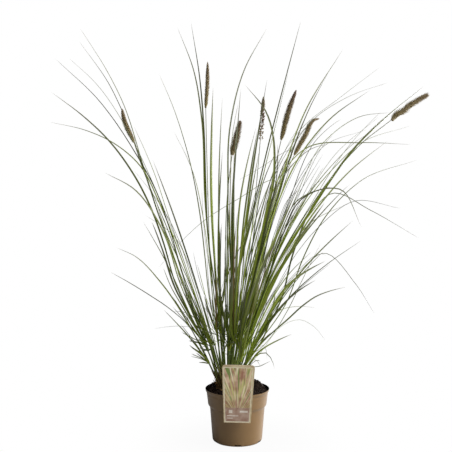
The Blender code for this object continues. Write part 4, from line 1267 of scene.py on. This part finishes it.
panel_finish, tree, place, _, ink = mottled(
    "card_fan_of_streaks", "#b07c62", "#efcfac", PANEL_CLOUDS_PER_METRE, 2, (0.35, 0.65)
)
right, up = (add_node(tree, "SeparateXYZ", {"Vector": place}, axis) for axis in "XZ")
rise = add_node(tree, "Math", {0: up, 1: FAN_FOOT}, operation="SUBTRACT")
turn = add_node(tree, "Math", {0: right, 1: rise}, operation="DIVIDE")
fan = add_node(tree, "CombineXYZ", {"X": turn, "Y": 0.0, "Z": up})
ink = lay_over(tree, ink, "#a06a54", up, PANEL_FOOT, (0.7, 0.0))
for start, shows_from, colour in STREAKS:
    apart = add_node(tree, "VectorMath", {0: fan, 1: (0.0, start, 0.0)}, operation="ADD")
    streak = add_node(tree, "TexNoise", {"Vector": apart, "Scale": FAN_STREAKS, "Detail": 1.5}, "Fac")
    ink = lay_over(tree, ink, colour, streak, (shows_from, shows_from + STREAK_EDGE))
varnished(tree, ink)
card_finishes["panel"] = panel_finish
print("nodes in the panel's finish:", len(tree.nodes))

# %% The card's outline and print
# All in mm. Heights are above the floor, or above the card's foot where a comment says so.
CARD_TOP = 216
CARD_BOTTOM = 69.5
CARD_TALL = CARD_TOP - CARD_BOTTOM
CARD_HALF_TOP = 42
CARD_HALF_BOTTOM = 34
CARD_CORNER = 8
# Printed areas as (finish, left, right, low, high): shares of the half width, and mm above the foot.
CARD_PRINT = (
    ("line", -0.93, 0.90, 1.4, 140.0),
    ("panel", -0.88, 0.86, 38.0, 138.6),
    ("band", -0.88, 0.86, 3.4, 38.0),
    ("bar", 0.16, 0.74, 26.0, 31.0),
    ("bar", -0.76, 0.06, 16.5, 18.5),
    ("bar", -0.76, -0.34, 10.5, 12.5),
    ("bar", -0.62, -0.36, 24.5, 32.5),
)


def half_width(up):
    """The card's half width at a height above its foot, in mm."""
    half = CARD_HALF_BOTTOM + (CARD_HALF_TOP - CARD_HALF_BOTTOM) * up / CARD_TALL
    over = up - (CARD_TALL - CARD_CORNER)
    if over > 0:
        half += math.sqrt(max(CARD_CORNER**2 - over**2, 0.0)) - CARD_CORNER
    return half


def ink_at(across, up):
    """The topmost printed area at a place on the card's front."""
    areas = [name for name, left, right, low, high in CARD_PRINT if left < across < right and low < up < high]
    return areas[-1] if areas else "rim"


print("half width at the foot and the top:", half_width(0), half_width(CARD_TALL - CARD_CORNER))

# %% The card's sheet and tongue
CARD_BACK_Y = -85.5
CARD_THICK = 0.8
TONGUE_ROUTE = ((-86.0, 141.6), (-81.5, 142.4), (-78.4, 141.2), (-76.4, 138.4), (-74.6, 133), (-69.4, 106))
TONGUE_HALF = 10
TONGUE_RINGS = 30
finish_names = list(card_finishes)
BACK = finish_names.index("back")


def add_sheet(bm):
    """The card's front and back in cells along its printed areas, joined along the edge."""
    columns = {-1.0, 1.0} | {edge for area in CARD_PRINT for edge in area[1:3]}
    columns = sorted(columns | set(np.linspace(-0.8, 0.8, 9).round(3).tolist()))
    rows = {0.0, CARD_TALL} | {edge for area in CARD_PRINT for edge in area[3:5]}
    rows = sorted(rows | {CARD_TALL - CARD_CORNER * (1 - math.sin(turn)) for turn in np.linspace(0, 1.4, 8)})
    last_row = len(rows) - 1
    last_column = len(columns) - 1
    front, back = {}, {}
    for grid, depth in ((front, CARD_BACK_Y - CARD_THICK), (back, CARD_BACK_Y)):
        for row, up in enumerate(rows):
            for column, across in enumerate(columns):
                spot = (across * half_width(up), depth, up + CARD_BOTTOM)
                grid[row, column] = bm.verts.new(spot)
    for row in range(last_row):
        up = (rows[row] + rows[row + 1]) / 2
        for column in range(last_column):
            across = (columns[column] + columns[column + 1]) / 2
            cell = ((row, column), (row, column + 1), (row + 1, column + 1), (row + 1, column))
            face = bm.faces.new([front[corner] for corner in cell])
            face.material_index = finish_names.index(ink_at(across, up))
            bm.faces.new([back[corner] for corner in reversed(cell)]).material_index = BACK
    loop = [(0, column) for column in range(last_column)]
    loop += [(row, last_column) for row in range(last_row)]
    loop += [(last_row, column) for column in range(last_column, 0, -1)]
    loop += [(row, 0) for row in range(last_row, 0, -1)]
    for here, after in zip(loop, loop[1:] + loop[:1]):
        edge = (front[here], back[here], back[after], front[after])
        bm.faces.new(edge).material_index = BACK


def add_tongue(bm):
    """The tongue that is bent over the pot's rim, as a flat strip along its route."""
    middles = through([(0.0, *spot) for spot in TONGUE_ROUTE], np.linspace(0, 1, TONGUE_RINGS))
    over = np.cross(unit(np.gradient(middles, axis=0)), (1.0, 0.0, 0.0))
    rings = []
    for middle, up in zip(middles, over):
        corners = ((-1, -1), (1, -1), (1, 1), (-1, 1))
        spots = [middle + np.array((TONGUE_HALF * x, 0, 0)) + up * (y * CARD_THICK / 2) for x, y in corners]
        rings.append([bm.verts.new(spot) for spot in spots])
    faces = [rings[0], rings[-1]]
    for low, high in zip(rings, rings[1:]):
        faces += [(low[step - 1], low[step], high[step], high[step - 1]) for step in range(4)]
    for face in faces:
        bm.faces.new(face).material_index = BACK


print("card finishes:", finish_names)

# %% Build the card
CARD_TILT = math.radians(1.4)
CARD_PIVOT_Z = 137


def build_card():
    """The card with its tongue, tilted a little about the rim, as it hangs in the picture."""
    bm = bmesh.new()
    add_sheet(bm)
    add_tongue(bm)
    bmesh.ops.recalc_face_normals(bm, faces=bm.faces)
    tilt = Matrix.Rotation(CARD_TILT, 3, "Y")
    bmesh.ops.rotate(bm, cent=(0, 0, CARD_PIVOT_Z), matrix=tilt, verts=bm.verts)
    bmesh.ops.scale(bm, vec=(MM, MM, MM), verts=bm.verts)
    mesh = bpy.data.meshes.new("card")
    bm.to_mesh(mesh)
    bm.free()
    for name in finish_names:
        mesh.materials.append(card_finishes[name])
    mesh.shade_smooth()
    mesh.set_sharp_from_angle(angle=math.radians(30))
    return add_piece("plant_card_printed", mesh, "plant_card")


card = build_card()
print("card faces:", len(card.data.polygons))
